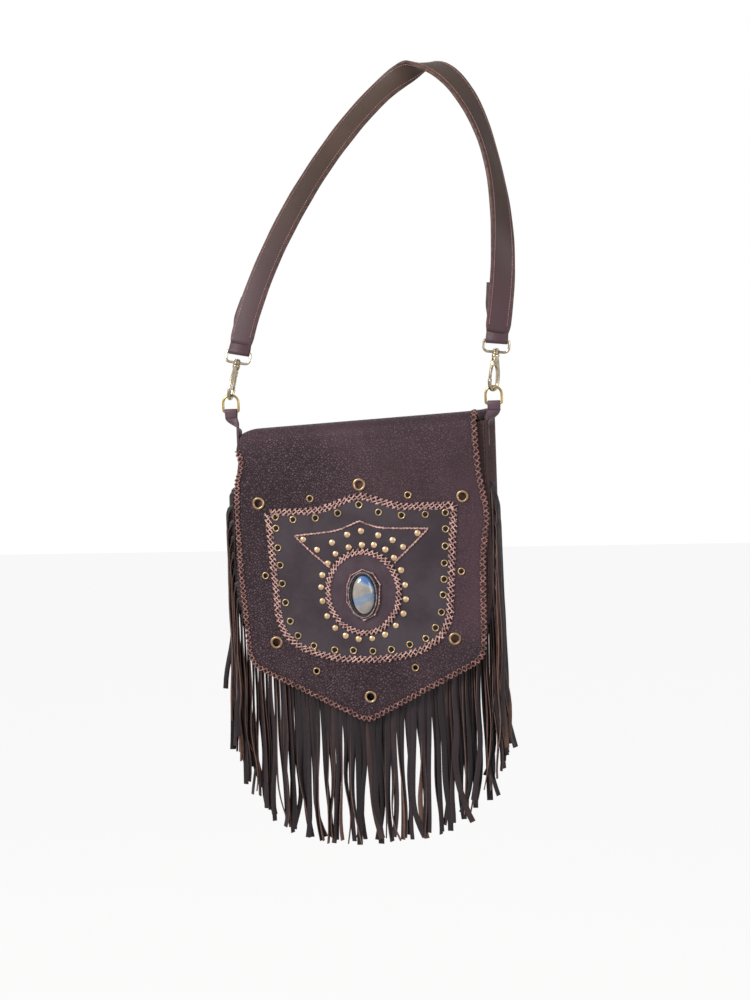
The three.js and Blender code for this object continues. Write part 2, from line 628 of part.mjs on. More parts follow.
function hookGeometry() {
  const flat = new THREE.ExtrudeGeometry(hookOutline(), {
    depth: HOOK_THICKNESS - 2 * HOOK_BEVEL, bevelThickness: HOOK_BEVEL, bevelSize: HOOK_BEVEL,
    bevelOffset: -HOOK_BEVEL, bevelSegments: 1, curveSegments: 4,
  });
  flat.rotateX(Math.PI / 2).translate(0, HOOK_THICKNESS / 2 - HOOK_BEVEL, 0);
  const post = new THREE.LatheGeometry([
    [0, -HOOK_TOP - 4], [3.6, -HOOK_TOP - 4], [4.4, -HOOK_TOP], [POST_RADIUS, -HOOK_TOP],
    [POST_RADIUS, -LOOP_HEIGHT + BOSS_HEIGHT / 2 + GAP], [3.2, -LOOP_HEIGHT + BOSS_HEIGHT / 2 + GAP],
    [2.4, -LOOP_HEIGHT + BOSS_HEIGHT / 2 + 1.7], [0, -LOOP_HEIGHT + BOSS_HEIGHT / 2 + 2.1],
  ].map(([r, h]) => new THREE.Vector2(r, h)), 9).rotateX(Math.PI / 2);
  const slotTop = PIVOT.y + PIN_RADIUS + GATE_THICKNESS + GAP / 2;
  const slot = box(-2 * HOOK_HALF, SLOT_REACH, GATE_THICKNESS + 2 * GAP, -NOSE_TOP, slotTop);
  const mouth = box(-2 * HOOK_HALF, 0, 2 * HOOK_THICKNESS, -NOSE_TOP, -EYE_TOP);
  const pin = new THREE.CylinderGeometry(PIN_RADIUS, PIN_RADIUS, HOOK_THICKNESS - 0.4, 8)
    .translate(PIVOT.x, 0, PIVOT.y);
  return geometryOf(joined([flat, post]).subtract(joined([slot, mouth])).add(solid(pin)));
}

function gateGeometry() {
  const tip = -NOSE_TOP + GAP;
  const shape = new THREE.Shape();
  shape.moveTo(PIVOT.x + 2.4, PIVOT.y);
  shape.absarc(PIVOT.x, PIVOT.y, 2.4, 0, Math.PI);
  shape.lineTo(-8.3, tip + 8);
  shape.lineTo(-8.6, tip + 0.8);
  shape.lineTo(-5.6, tip);
  shape.lineTo(-5, tip + 8);
  const bore = new THREE.Path();
  bore.absarc(PIVOT.x, PIVOT.y, PIN_RADIUS + GAP, 0, 2 * Math.PI);
  shape.holes.push(bore);
  return plate(shape, GATE_THICKNESS, -GATE_THICKNESS / 2, 5);
}

// Rings stand in their tabs on the gusset; the hooks hold them at the top of the ring.
const ringHalf = RING_WIDTH / 2;
const RING_ROUND = 2;

function ringGeometry() {
  const low = arc(ringHalf - RING_ROUND, RING_ROUND, RING_ROUND, -Math.PI / 2, 0, 2);
  const crown = arc(0, RING_LEG, ringHalf, 0, Math.PI, 8);
  const lowLeft = arc(RING_ROUND - ringHalf, RING_ROUND, RING_ROUND, Math.PI, 1.5 * Math.PI, 2);
  return wire([...low, ...crown, ...lowLeft], RING_WIRE, 7);
}

const HOOK_LEAN = { right: new THREE.Vector3(0.11, 0, 1), left: new THREE.Vector3(0.2, 0.2, 1) };
const tabX = HALF_WIDTH - LEATHER - GAP - TAB_PLY;
const ringX = HALF_WIDTH + RING_OUTSET;
const TAB_STEPS = 6;

function tabGeometry(side) {
  const inner = RING_WIRE / 2 + GAP;
  const outer = inner + TAB_PLY;
  const start = -GUSSET_TOP_DROP;
  const neck = RING_RISE - TAB_NECK;
  const shape = new THREE.Shape();
  shape.moveTo(-TAB_PLY, neck);
  shape.lineTo(TAB_PLY, neck);
  shape.lineTo(outer, RING_RISE - 1);
  shape.absarc(0, RING_RISE, outer, 0, Math.PI);
  shape.lineTo(-outer, RING_RISE - 1);
  const hole = new THREE.Path();
  hole.absarc(0, RING_RISE, inner, 0, 2 * Math.PI);
  shape.holes.push(hole);
  const head = run(shape, TAB_WIDTH)
    .translate(side * ringX, -RING_FORWARD, 0);
  const rings = [start - TAB_DEPTH, start];
  for (let k = 1; k <= TAB_STEPS; k++) {
    rings.push(start + (neck + 1 - start) * k / TAB_STEPS);
  }
  const tail = loft(rings.map((z) => {
    const share = THREE.MathUtils.smoothstep(z, start, neck);
    const turn = Math.PI / 2 - side * Math.PI / 2 * share;
    const centre = new THREE.Vector3(side * (tabX + (ringX - tabX) * share), -RING_FORWARD, z);
    const wide = new THREE.Vector3(Math.cos(turn), Math.sin(turn), 0);
    return crossSection(centre, wide, new THREE.Vector3(0, 0, 1), TAB_WIDTH, 2 * TAB_PLY);
  }));
  return geometryOf(joined([head, tail]));
}

// The frame of a strap end: its own Z along the strap, its own X across it.
function endFrame(side) {
  const along = HOOK_LEAN[side < 0 ? 'left' : 'right'].clone().normalize();
  const wide = ACROSS.clone().addScaledVector(along, -ACROSS.dot(along)).normalize();
  const out = new THREE.Vector3().crossVectors(along, wide);
  const ringTop = new THREE.Vector3(side * ringX, -RING_FORWARD, RING_RISE + RING_LEG + ringHalf);
  const bar = ringTop.clone().addScaledVector(along, RING_SEAT);
  return { along, bar, matrix: new THREE.Matrix4().makeBasis(wide, out, along).setPosition(bar) };
}

for (const [name, side] of [['right', 1], ['left', -1]]) {
  add(`${name}_tab`, tabGeometry(side), 'body');
  add(`${name}_ring`, ringGeometry().translate(side * ringX, -RING_FORWARD, RING_RISE), 'brass');
  const { matrix } = endFrame(side);
  const turned = matrix.clone().multiply(new THREE.Matrix4().makeRotationZ(HOOK_TURN[name]));
  add(`${name}_loop`, loopGeometry(), 'brass', matrix);
  add(`${name}_hook`, hookGeometry(), 'brass', turned);
  add(`${name}_gate`, gateGeometry(), 'brass', turned);
}

// Strap: a flat band from hook to hook over the shoulder, folded round a loop at each end.
const FOLD_START = 9;
const STRAP_STEPS = 23;

function strapCurve() {
  const right = endFrame(1);
  const left = endFrame(-1);
  const crest = new THREE.Vector3(CREST_SIDE, CREST_DEPTH, STRAP_DROP);
  const over = new THREE.Vector3(-1.13, 0.78, 0).normalize();
  const rise = crest.z - right.bar.z;
  const outward = new THREE.Vector3(0.056 * rise, -0.096 * rise, 0);
  const front = new THREE.CubicBezierCurve3(
    right.bar.clone().addScaledVector(right.along, FOLD_START),
    right.bar.clone().addScaledVector(right.along, 0.62 * rise).add(outward),
    crest.clone().addScaledVector(over, -0.18 * rise), crest,
  );
  const back = new THREE.CubicBezierCurve3(
    crest, crest.clone().addScaledVector(over, 0.24 * rise),
    left.bar.clone().addScaledVector(left.along, 0.5 * rise),
    left.bar.clone().addScaledVector(left.along, FOLD_START),
  );
  const path = new THREE.CurvePath();
  path.add(front);
  path.add(back);
  return path;
}

function strapFold(side) {
  const inner = LOOP_WIRE / 2 + GAP;
  const outer = inner + STRAP_THICKNESS / 2;
  const shape = new THREE.Shape();
  shape.moveTo(STRAP_THICKNESS / 2 + 0.8, FOLD_START + 4);
  shape.lineTo(-STRAP_THICKNESS / 2 - 0.8, FOLD_START + 4);
  shape.lineTo(-outer, 0);
  shape.absarc(0, 0, outer, Math.PI, 2 * Math.PI);
  const eye = new THREE.Path();
  eye.absarc(0, 0, inner, 0, 2 * Math.PI);
  shape.holes.push(eye);
  return run(shape, STRAP_END_WIDTH).applyMatrix4(endFrame(side).matrix);
}

// The strap narrows where it enters its loops, and in front its face turns towards the shoulder.
function strapGeometry() {
  const path = strapCurve();
  const [frontRun, total] = path.getCurveLengths();
  const stations = [0, STRAP_END_TAPER];
  for (let k = 1; k < STRAP_STEPS; k++) {
    stations.push(total * k / STRAP_STEPS);
  }
  stations.push(total - STRAP_END_TAPER, total);
  const rings = stations.map((station) => {
    const at = path.getPointAt(station / total);
    const ahead = path.getTangentAt(station / total);
    const wide = ACROSS.clone().addScaledVector(ahead, -ACROSS.dot(ahead)).normalize();
    const share = Math.min(station / frontRun, 1);
    wide.applyAxisAngle(ahead, STRAP_TURN * Math.sin(Math.PI * share) ** 2);
    const inner = Math.min(station, total - station) / STRAP_END_TAPER;
    const width = THREE.MathUtils.lerp(STRAP_END_WIDTH, STRAP_WIDTH, Math.min(inner, 1));
    return crossSection(at, wide, ahead, width, STRAP_THICKNESS);
  });
  return geometryOf(joined([loft(rings), strapFold(1), strapFold(-1)]));
}

add('strap', strapGeometry(), 'strap');

bag.position.set(-CREST_SIDE, -CREST_DEPTH, STRAP_THICKNESS / 2 - STRAP_DROP);
group.updateMatrixWorld(true);

export default group;
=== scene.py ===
"""A fringed leather shoulder bag hanging from its strap: leather, lacing, studs, stone and hardware."""
import math

import bmesh
import bpy
import numpy as np
from mathutils import Matrix, Vector

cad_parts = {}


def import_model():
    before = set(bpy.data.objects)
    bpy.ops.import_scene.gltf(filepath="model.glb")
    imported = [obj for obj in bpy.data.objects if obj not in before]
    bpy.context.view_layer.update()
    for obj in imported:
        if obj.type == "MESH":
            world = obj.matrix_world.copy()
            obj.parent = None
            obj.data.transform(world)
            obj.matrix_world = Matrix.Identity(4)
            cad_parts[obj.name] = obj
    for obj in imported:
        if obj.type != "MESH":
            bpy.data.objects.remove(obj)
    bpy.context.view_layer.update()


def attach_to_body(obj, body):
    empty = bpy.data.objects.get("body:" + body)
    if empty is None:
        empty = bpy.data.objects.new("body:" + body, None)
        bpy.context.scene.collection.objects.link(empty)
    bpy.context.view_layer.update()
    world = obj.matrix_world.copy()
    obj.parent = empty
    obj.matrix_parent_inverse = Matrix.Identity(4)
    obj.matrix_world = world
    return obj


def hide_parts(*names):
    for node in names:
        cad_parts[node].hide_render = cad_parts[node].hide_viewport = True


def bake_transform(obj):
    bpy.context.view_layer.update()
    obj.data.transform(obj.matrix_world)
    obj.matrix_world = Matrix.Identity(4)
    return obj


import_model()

# Lengths are in millimetres from the middle of the bag's top edge, front towards -Y.
MM = 0.001
QUARTER = math.pi / 2
BAG_TOP = np.array([-67.0, -90.0, -410.0])
HALF_WIDTH, HEIGHT, CORNER = 150.0, 292.0, 100.0
FRONT_Y, BACK_Y, LEATHER, EDGE_ROUND = -27.0, 27.0, 2.0, 1.1
FLAP_DROP, CORNER_ROUND = 349.0, 18.0
FOLD, HINGE_Y, FLAP_MID_Y = 16.0, 26.0, -30.5
HEM_BEND, HEM = 2.3, 13.6
STRAIGHT = HEIGHT - CORNER
FLAP_FLAT = HINGE_Y - (FLAP_MID_Y + FOLD)
FLAP_START = FLAP_FLAT + FOLD * QUARTER - FOLD
SHIELD_TOP, SHIELD_POINT, SHIELD_HALF, SHIELD_PEAK, SHIELD_TILT = 101.0, 276.0, 110.0, 15.0, 0.022
SHIELD_THICK, OVAL_THICK = 1.7, 1.6
OVAL_X, OVAL_DROP, OVAL_A, OVAL_B = 1.2, 197.25, 42.0, 47.0
STONE_X, STONE_DROP, STONE_A, STONE_B, STONE_RISE = 2.1, 200.0, 13.0, 22.3, 8.0
RING_X, RING_Y, RING_Z, RING_RADIUS, RING_STRAIGHT = 155.0, -11.0, 13.5, 9.25, 10.0
GRAIN_SLANT = -0.73
SEED = 41
rng = np.random.default_rng(SEED)


def srgb(colour):
    """A colour given from 0 to 255, as the shaders read it."""
    def linear(c):
        c /= 255.0
        return c / 12.92 if c <= 0.04045 else ((c + 0.055) / 1.055) ** 2.4
    return (*(linear(c) for c in colour), 1.0)


def darker(colour, share):
    return (*(share * c for c in colour[:3]), 1.0)


def feed(tree, node, inputs):
    """Sets a node's inputs, given as values or as the sockets that feed them."""
    for key, value in inputs.items():
        if isinstance(value, bpy.types.NodeSocket):
            tree.links.new(value, node.inputs[key])
        else:
            node.inputs[key].default_value = value


def put(tree, kind, inputs=None, **settings):
    """A new node with its settings and inputs."""
    node = tree.nodes.new(kind)
    for key, value in settings.items():
        setattr(node, key, value)
    feed(tree, node, inputs or {})
    return node


def sockets(tree, inputs, outputs):
    for label, kind, value in inputs:
        socket = tree.interface.new_socket(name=label, in_out="INPUT", socket_type=kind)
        if value is not None:
            socket.default_value = value
    for label, kind in outputs:
        tree.interface.new_socket(name=label, in_out="OUTPUT", socket_type=kind)
    return tree.nodes.new("NodeGroupInput"), tree.nodes.new("NodeGroupOutput")


F, V = "NodeSocketFloat", "NodeSocketVector"


def maths(tree, operation, a, b=0.0, c=0.0, clamp=False):
    return put(tree, "ShaderNodeMath", {0: a, 1: b, 2: c}, operation=operation, use_clamp=clamp).outputs[0]


def times(tree, a, b):
    return maths(tree, "MULTIPLY", a, b)


def ramp(tree, value, low, high, to_low=0.0, to_high=1.0):
    return put(tree, "ShaderNodeMapRange", {0: value, 1: low, 2: high, 3: to_low, 4: to_high},
               interpolation_type="SMOOTHSTEP").outputs[0]


def blend(tree, share, a, b):
    return put(tree, "ShaderNodeMix", {0: share, 6: a, 7: b}, data_type="RGBA").outputs[2]


def noise(tree, where, scale, detail=3.0, rough=0.5):
    return put(tree, "ShaderNodeTexNoise",
               {"Vector": where, "Scale": scale, "Detail": detail, "Roughness": rough})


def mark(tree, label):
    """A value stored on the piece's points or faces."""
    return put(tree, "ShaderNodeAttribute", attribute_name=label).outputs["Fac"]


def bumped(tree, height, depth):
    """The surface raised by a height, of so many millimetres."""
    return put(tree, "ShaderNodeBump", {"Height": height, "Distance": depth * MM, "Strength": 1.0}).outputs[0]


def pebble_group():
    """Rounded grains with creases between them: the height, and where the creases are."""
    tree = bpy.data.node_groups.new("pebble grain", "ShaderNodeTree")
    into, out = sockets(tree, [("Vector", V, None), ("Scale", F, 400.0)], [("Height", F), ("Crease", F)])
    where, scale = into.outputs["Vector"], into.outputs["Scale"]

    def vectors(operation, inputs):
        return put(tree, "ShaderNodeVectorMath", inputs, operation=operation).outputs[0]

    def cell_edges(size):
        return put(tree, "ShaderNodeTexVoronoi", {"Vector": moved, "Scale": size},
                   feature="DISTANCE_TO_EDGE").outputs["Distance"]

    warp = noise(tree, where, times(tree, scale, 0.35), 2.0)
    shift = vectors("SUBTRACT", {0: warp.outputs["Color"], 1: (0.5, 0.5, 0.5)})
    bent = vectors("SCALE", {0: shift, 3: maths(tree, "DIVIDE", 1.6, scale)})
    moved = vectors("ADD", {0: where, 1: bent})
    large, small = cell_edges(scale), cell_edges(times(tree, scale, 2.1))
    fine = noise(tree, where, times(tree, scale, 5.0), 2.0)
    height = maths(tree, "MULTIPLY_ADD", ramp(tree, small, 0.0, 0.22), 0.2,
                   times(tree, ramp(tree, large, 0.0, 0.3), 0.72))
    lines = ramp(tree, large, 0.02, 0.2, 1.0, 0.0)
    faint = ramp(tree, small, 0.0, 0.14, 0.45, 0.0)
    feed(tree, out, {"Height": maths(tree, "MULTIPLY_ADD", fine.outputs[0], 0.1, height),
                     "Crease": maths(tree, "MAXIMUM", lines, faint)})
    return tree


def cloud_group():
    """Soft patches for uneven dye, and a fine nap."""
    tree = bpy.data.node_groups.new("cloudy dye", "ShaderNodeTree")
    into, out = sockets(tree, [("Vector", V, None), ("Scale", F, 20.0), ("Nap", F, 900.0)],
                        [("Cloud", F), ("Nap", F)])
    where = into.outputs["Vector"]
    cloud = noise(tree, where, into.outputs["Scale"], 4.0, 0.6)
    nap = noise(tree, where, into.outputs["Nap"], 3.0, 0.7)
    feed(tree, out, {"Cloud": ramp(tree, cloud.outputs[0], 0.3, 0.7), "Nap": nap.outputs[0]})
    return tree


def rub_and_shade_group():
    """Wear along borders, and painted shade where the colour it brings in is darker: the piece's own edge
    mark broken up by noise.
    """
    tree = bpy.data.node_groups.new("rubbed edge", "ShaderNodeTree")
    into, out = sockets(tree, [("Vector", V, None), ("Edge", F, 0.0), ("Scale", F, 160.0)], [("Mask", F)])
    spots = noise(tree, into.outputs["Vector"], into.outputs["Scale"])
    feed(tree, out, {"Mask": times(tree, into.outputs["Edge"], ramp(tree, spots.outputs[0], 0.35, 0.65))})
    return tree


PEBBLE, CLOUD, RUB_AND_SHADE = pebble_group(), cloud_group(), rub_and_shade_group()


def new_material(name):
    material = bpy.data.materials.new(name)
    material.use_nodes = True
    tree = material.node_tree
    tree.nodes.clear()
    shader = tree.nodes.new("ShaderNodeBsdfPrincipled")
    tree.links.new(shader.outputs[0], put(tree, "ShaderNodeOutputMaterial").inputs[0])
    where = put(tree, "ShaderNodeTexCoord").outputs["Object"]
    return material, tree, shader, where


def use(tree, group, **inputs):
    """What a shared effect gives out, with its inputs set."""
    return put(tree, "ShaderNodeGroup", inputs, node_tree=group).outputs


def grained_leather(name, dark, light, wear_and_shade, grain=3.3, depth=0.75, rough=(0.34, 0.62), cloud=14.0,
                    crease=0.95, crown_rub_and_highlight=None, shine=0.22, low=None, drawn=(1.0, 1.0, 1.0), border=None):
    """Pebbled leather: grain bold in places and stretched flat in others, uneven dye, painted shade in the
    grain's creases, paler grain crowns that are partly painted highlight, and borders worn paler or darkened
    as painted shade.
    """
    material, tree, shader, where = new_material(name)
    slanted = put(tree, "ShaderNodeMapping", {
        "Vector": where, "Rotation": (0.0, GRAIN_SLANT, 0.0), "Scale": drawn}, vector_type="TEXTURE")
    grains = use(tree, PEBBLE, Vector=slanted.outputs[0], Scale=1000.0 / grain)
    dye = use(tree, CLOUD, Vector=where, Scale=cloud, Nap=1500.0)
    patches = ramp(tree, noise(tree, where, 11.0, 2.0).outputs[0], 0.36, 0.64, 0.24, 0.58)
    relief = maths(tree, "ADD", patches, times(tree, mark(tree, "bold"), 0.6), clamp=True)
    edge = mark(tree, "edge")
    worn = use(tree, RUB_AND_SHADE, Vector=where, Edge=edge, Scale=220.0)["Mask"]
    colour = blend(tree, dye["Cloud"], srgb(dark), srgb(light))
    if low:
        height = put(tree, "ShaderNodeSeparateXYZ", {0: where}).outputs["Z"]
        colour = blend(tree, ramp(tree, height, low[1], low[2], 1.0, 0.0), colour, srgb(low[0]))
    # Grain crowns made paler: painted highlight on the crowns, in part worn tops.
    if crown_rub_and_highlight:
        crown = ramp(tree, grains["Height"], 0.62, 0.95)
        colour = blend(tree, times(tree, times(tree, crown, relief), 0.36), colour, srgb(crown_rub_and_highlight))
    # Grain creases darkened: painted shade in the creases.
    folded = times(tree, times(tree, grains["Crease"], relief), crease)
    colour = blend(tree, folded, colour, darker(srgb(dark), 0.3))
    # Along the edge mark the body, strap and tab are worn paler; on the flap and front panel this colour is
    # darker: painted shade along the border and under the lacing.
    colour = blend(tree, times(tree, worn, 0.8), colour, srgb(wear_and_shade))
    # A border colour, where given, darkens the marked margins: painted shade beside the flap.
    if border:
        colour = blend(tree, edge, colour, srgb(border))
    feed(tree, shader, {"Base Color": colour, "Specular IOR Level": shine,
                        "Roughness": ramp(tree, grains["Height"], 0.1, 0.95, rough[1], rough[0]),
                        "Normal": bumped(tree, times(tree, grains["Height"], relief), depth)})
    return material


def napped_leather(name, dark, light, wear_and_shade, nap=1100.0, cloud=32.0, depth=0.12, border=None):
    """Brushed leather: a fine nap, uneven dye, and at the border painted shade when a border colour is given,
    worn colour otherwise.
    """
    material, tree, shader, where = new_material(name)
    dye = use(tree, CLOUD, Vector=where, Scale=cloud, Nap=nap)
    edge = mark(tree, "edge")
    colour = blend(tree, dye["Cloud"], srgb(dark), srgb(light))
    colour = blend(tree, ramp(tree, dye["Nap"], 0.35, 0.75, 0.0, 0.35), colour, srgb(wear_and_shade))
    # A border colour, where given, darkens the marked edge: painted shade under the lacing along the edge.
    if border:
        colour = blend(tree, ramp(tree, edge, 0.12, 0.5, 0.0, 0.85), colour, srgb(border))
    else:
        worn = use(tree, RUB_AND_SHADE, Vector=where, Edge=edge, Scale=260.0)["Mask"]
        colour = blend(tree, times(tree, worn, 0.6), colour, srgb(wear_and_shade))
    feed(tree, shader, {"Base Color": colour, "Roughness": ramp(tree, dye["Cloud"], 0.0, 1.0, 0.86, 0.74),
                        "Normal": bumped(tree, dye["Nap"], depth), "Sheen Weight": 0.08,
                        "Sheen Roughness": 0.5, "Specular IOR Level": 0.2})
    return material


def strip_leather(name, smooth_side, warm_side, flesh_side):
    """Cut strips: smooth dark face, paler flesh side and edges, each strip a little different."""
    material, tree, shader, where = new_material(name)
    smooth_side, warm_side, flesh_side = srgb(smooth_side), srgb(warm_side), srgb(flesh_side)
    shade = darker(smooth_side, 0.4)
    dye = use(tree, CLOUD, Vector=where, Scale=45.0, Nap=1300.0)
    tone, flesh = mark(tree, "tone"), mark(tree, "flesh")
    face = blend(tree, ramp(tree, tone, 0.0, 0.75), shade, smooth_side)
    face = blend(tree, ramp(tree, tone, 0.84, 0.96), face, warm_side)
    back = blend(tree, dye["Nap"], darker(flesh_side, 0.45), flesh_side)
    colour = blend(tree, ramp(tree, flesh, -0.75, -0.25), face, back)
    colour = blend(tree, times(tree, dye["Cloud"], 0.4), colour, shade)
    feed(tree, shader, {"Base Color": colour, "Roughness": ramp(tree, flesh, -0.75, 0.5, 0.5, 0.9),
                        "Normal": bumped(tree, dye["Nap"], 0.12), "Specular IOR Level": 0.22})
    return material


def waxed_thread(name, dark, light):
    material, tree, shader, where = new_material(name)
    dye = use(tree, CLOUD, Vector=where, Scale=260.0, Nap=2600.0)
    colour = blend(tree, dye["Cloud"], srgb(dark), srgb(light))
    colour = blend(tree, ramp(tree, dye["Nap"], 0.5, 0.7, 0.0, 0.5), colour, srgb(dark))
    feed(tree, shader, {"Base Color": colour, "Roughness": 0.5, "Specular IOR Level": 0.3,
                        "Normal": bumped(tree, dye["Nap"], 0.25)})
    return material


def aged_metal(name, bright, dark, patina=0.55, rough=(0.2, 0.42), scale=90.0):
    material, tree, shader, where = new_material(name)
    dye = use(tree, CLOUD, Vector=where, Scale=scale, Nap=1400.0)
    colour = blend(tree, times(tree, dye["Cloud"], patina), srgb(bright), srgb(dark))
    feed(tree, shader, {"Base Color": colour, "Roughness": ramp(tree, dye["Cloud"], 0.0, 1.0, *rough),
                        "Normal": bumped(tree, dye["Nap"], 0.02), "Metallic": 1.0})
    return material


def sheen_stone(name):
    """Grey feldspar: a deep blue wedge at the upper right, a pale blue band lower down, milky elsewhere."""
    material, tree, shader, where = new_material(name)
    centre = (np.array([STONE_X, 0.0, -STONE_DROP]) + BAG_TOP) * MM
    local = put(tree, "ShaderNodeMapping", {"Vector": where, "Location": tuple(-centre)})
    across = put(tree, "ShaderNodeVectorMath", {0: local.outputs[0], 3: 1000.0}, operation="SCALE").outputs[0]
    axes = put(tree, "ShaderNodeSeparateXYZ", {0: across}).outputs
    x, z = axes["X"], axes["Z"]
    shift = maths(tree, "MULTIPLY_ADD", noise(tree, across, 0.13).outputs[0], 5.0, -2.5)
    wedge_line, band_line = (maths(tree, "ADD", maths(tree, "MULTIPLY_ADD", x, slope, z), shift)
                             for slope in (0.45, -0.35))
    cloud = use(tree, CLOUD, Vector=where, Scale=110.0, Nap=500.0)
    wedge = times(tree, times(tree, ramp(tree, wedge_line, 13.2, 17.5), ramp(tree, x, -6.0, 1.0)), 0.9)
    band = times(tree, ramp(tree, band_line, -12.0, -7.5), ramp(tree, band_line, -2.5, 2.5, 1.0, 0.0))
    streak = ramp(tree, noise(tree, across, 0.3).outputs[0], 0.3, 0.6, 0.4, 0.8)
    colour = srgb((126, 121, 116))
    for share, tint in ((cloud["Cloud"], (150, 143, 135)),
                        (ramp(tree, cloud["Nap"], 0.45, 0.75, 0.0, 0.25), (116, 112, 112)),
                        (ramp(tree, wedge_line, 10.0, 14.5, 0.0, 0.7), (140, 156, 162)),
                        (wedge, (46, 92, 158)), (times(tree, band, streak), (84, 120, 156))):
        colour = blend(tree, share, colour, srgb(tint))
    feed(tree, shader, {"Base Color": colour, "Roughness": 0.1, "IOR": 1.57, "Coat Weight": 0.25,
                        "Coat Roughness": 0.05})
    return material


# The flap's edge colour, darker than the leather, is painted shade along its border under the lacing and
# round the shield, together with the cut edge's own dark; its paler grain crowns are partly painted
# highlight.
FLAP_LEATHER = grained_leather("pebbled flap leather", (52, 34, 40), (68, 47, 55), (35, 23, 27),
                               grain=2.6, depth=0.9, crown_rub_and_highlight=(112, 93, 104), drawn=(1.45, 1.0, 0.9))
# The front panel's darker edge and border colours are painted shade on the margins that show beside the flap.
FRONT_LEATHER = grained_leather("front panel leather", (92, 65, 60), (112, 82, 76), (60, 44, 45),
                                depth=0.35, rough=(0.5, 0.7), crease=0.5, shine=0.15, border=(58, 42, 43))
BODY_LEATHER = grained_leather("pebbled body leather", (57, 41, 42), (70, 52, 53), (84, 63, 61),
                               depth=0.35, rough=(0.5, 0.7), crease=0.5, shine=0.1)
STRAP_LEATHER = grained_leather("strap leather", (57, 42, 37), (71, 55, 47), (106, 77, 71), grain=1.7,
                                depth=0.16, rough=(0.38, 0.54), cloud=9.0, crease=0.3,
                                low=((73, 54, 59), -0.32, -0.12))
TAB_LEATHER = grained_leather("tab leather", (78, 59, 66), (94, 74, 82), (110, 84, 88), grain=1.7,
                              depth=0.16, rough=(0.42, 0.58), cloud=20.0, crease=0.3)
# The shield's and the oval's near-black border colours are painted shade under the lacing along their edges.
NUBUCK = napped_leather("shield nubuck", (46, 36, 42), (60, 53, 59), (72, 63, 69), cloud=17.0,
                        border=(26, 20, 22))
OVAL_NUBUCK = napped_leather("oval nubuck", (57, 44, 51), (73, 59, 67), (84, 69, 77), border=(30, 22, 25))
FLESH = napped_leather("flesh side", (84, 66, 60), (108, 86, 78), (130, 106, 96), nap=700.0, depth=0.2)
# The rim leather is near-black: dark leather with the netting's shade painted in.
RIM_LEATHER = napped_leather("stone rim leather", (26, 21, 23), (40, 33, 36), (70, 62, 66), cloud=120.0)
STRIPS = strip_leather("cut fringe strips", (43, 34, 38), (59, 42, 41), (128, 98, 87))
THREAD = waxed_thread("waxed lacing thread", (110, 76, 74), (220, 178, 170))
# The border lacing thread is made darker than the shield's lacing thread: painted shade along the flap's
# border.
EDGE_THREAD = waxed_thread("border lacing thread", (62, 40, 39), (166, 120, 112))
DARK_THREAD = waxed_thread("dark sewing thread", (60, 46, 44), (86, 66, 62))
PALE_THREAD = waxed_thread("grey rim thread", (88, 82, 88), (146, 138, 144))
STRAP_THREAD = waxed_thread("strap thread", (140, 100, 100), (190, 148, 146))
BRASS = aged_metal("antique brass", (182, 154, 96), (80, 62, 38), patina=0.65, scale=150.0)
STEEL = aged_metal("worn nickel", (190, 178, 154), (84, 70, 50), patina=0.7, rough=(0.12, 0.3), scale=150.0)
PALE_BRASS = aged_metal("pale eyelet brass", (192, 166, 128), (110, 86, 62), patina=0.65, rough=(0.3, 0.46))
COPPERY = aged_metal("large eyelet brass", (164, 138, 108), (92, 71, 56), patina=0.7, rough=(0.34, 0.5))
STUD_METAL = aged_metal("stud metal", (204, 176, 144), (138, 110, 84), patina=0.6, rough=(0.36, 0.5))
STONE = sheen_stone("sheen stone")
# Near-black discs set in holes: painted shade in the eyelets and at the stitch holes.
PAINTED_HOLE_SHADE = napped_leather("eyelet floor", (12, 10, 11), (20, 17, 18), (24, 20, 20))


def linked(name, data):
    """A new object in the scene."""
    obj = bpy.data.objects.new(name, data)
    bpy.context.collection.objects.link(obj)
    return obj


def bag_mesh(name, points, edges, faces, marks):
    """A mesh from points in bag millimetres, with values or directions marked on them."""
    mesh = bpy.data.meshes.new(name)
    mesh.from_pydata(((np.asarray(points, float) + BAG_TOP) * MM).tolist(), edges, faces)
    for key, values in marks.items():
        values = np.asarray(values, np.float32)
        kind, field = ("FLOAT_VECTOR", "vector") if values.ndim == 2 else ("FLOAT", "value")
        mesh.attributes.new(key, kind, "POINT").data.foreach_set(field, values.ravel())
    return mesh


def piece(name, points, faces, *materials, flags=None, marks=None):
    """A smooth piece from points in bag millimetres."""
    mesh = bag_mesh(name, points, [], faces, marks or {})
    for material in materials:
        mesh.materials.append(material)
    if flags is not None:
        mesh.polygons.foreach_set("material_index", flags)
    mesh.polygons.foreach_set("use_smooth", [True] * len(mesh.polygons))
    return linked(name, mesh)


def smooth(t):
    t = np.clip(t, 0.0, 1.0)
    return t * t * (3.0 - 2.0 * t)


def bezier(points, count, until=1.0):
    t = np.linspace(0.0, until, count)[:, None]
    p = np.asarray(points, float)
    n = len(p) - 1
    return sum(math.comb(n, k) * (1 - t) ** (n - k) * t ** k * p[k] for k in range(n + 1))


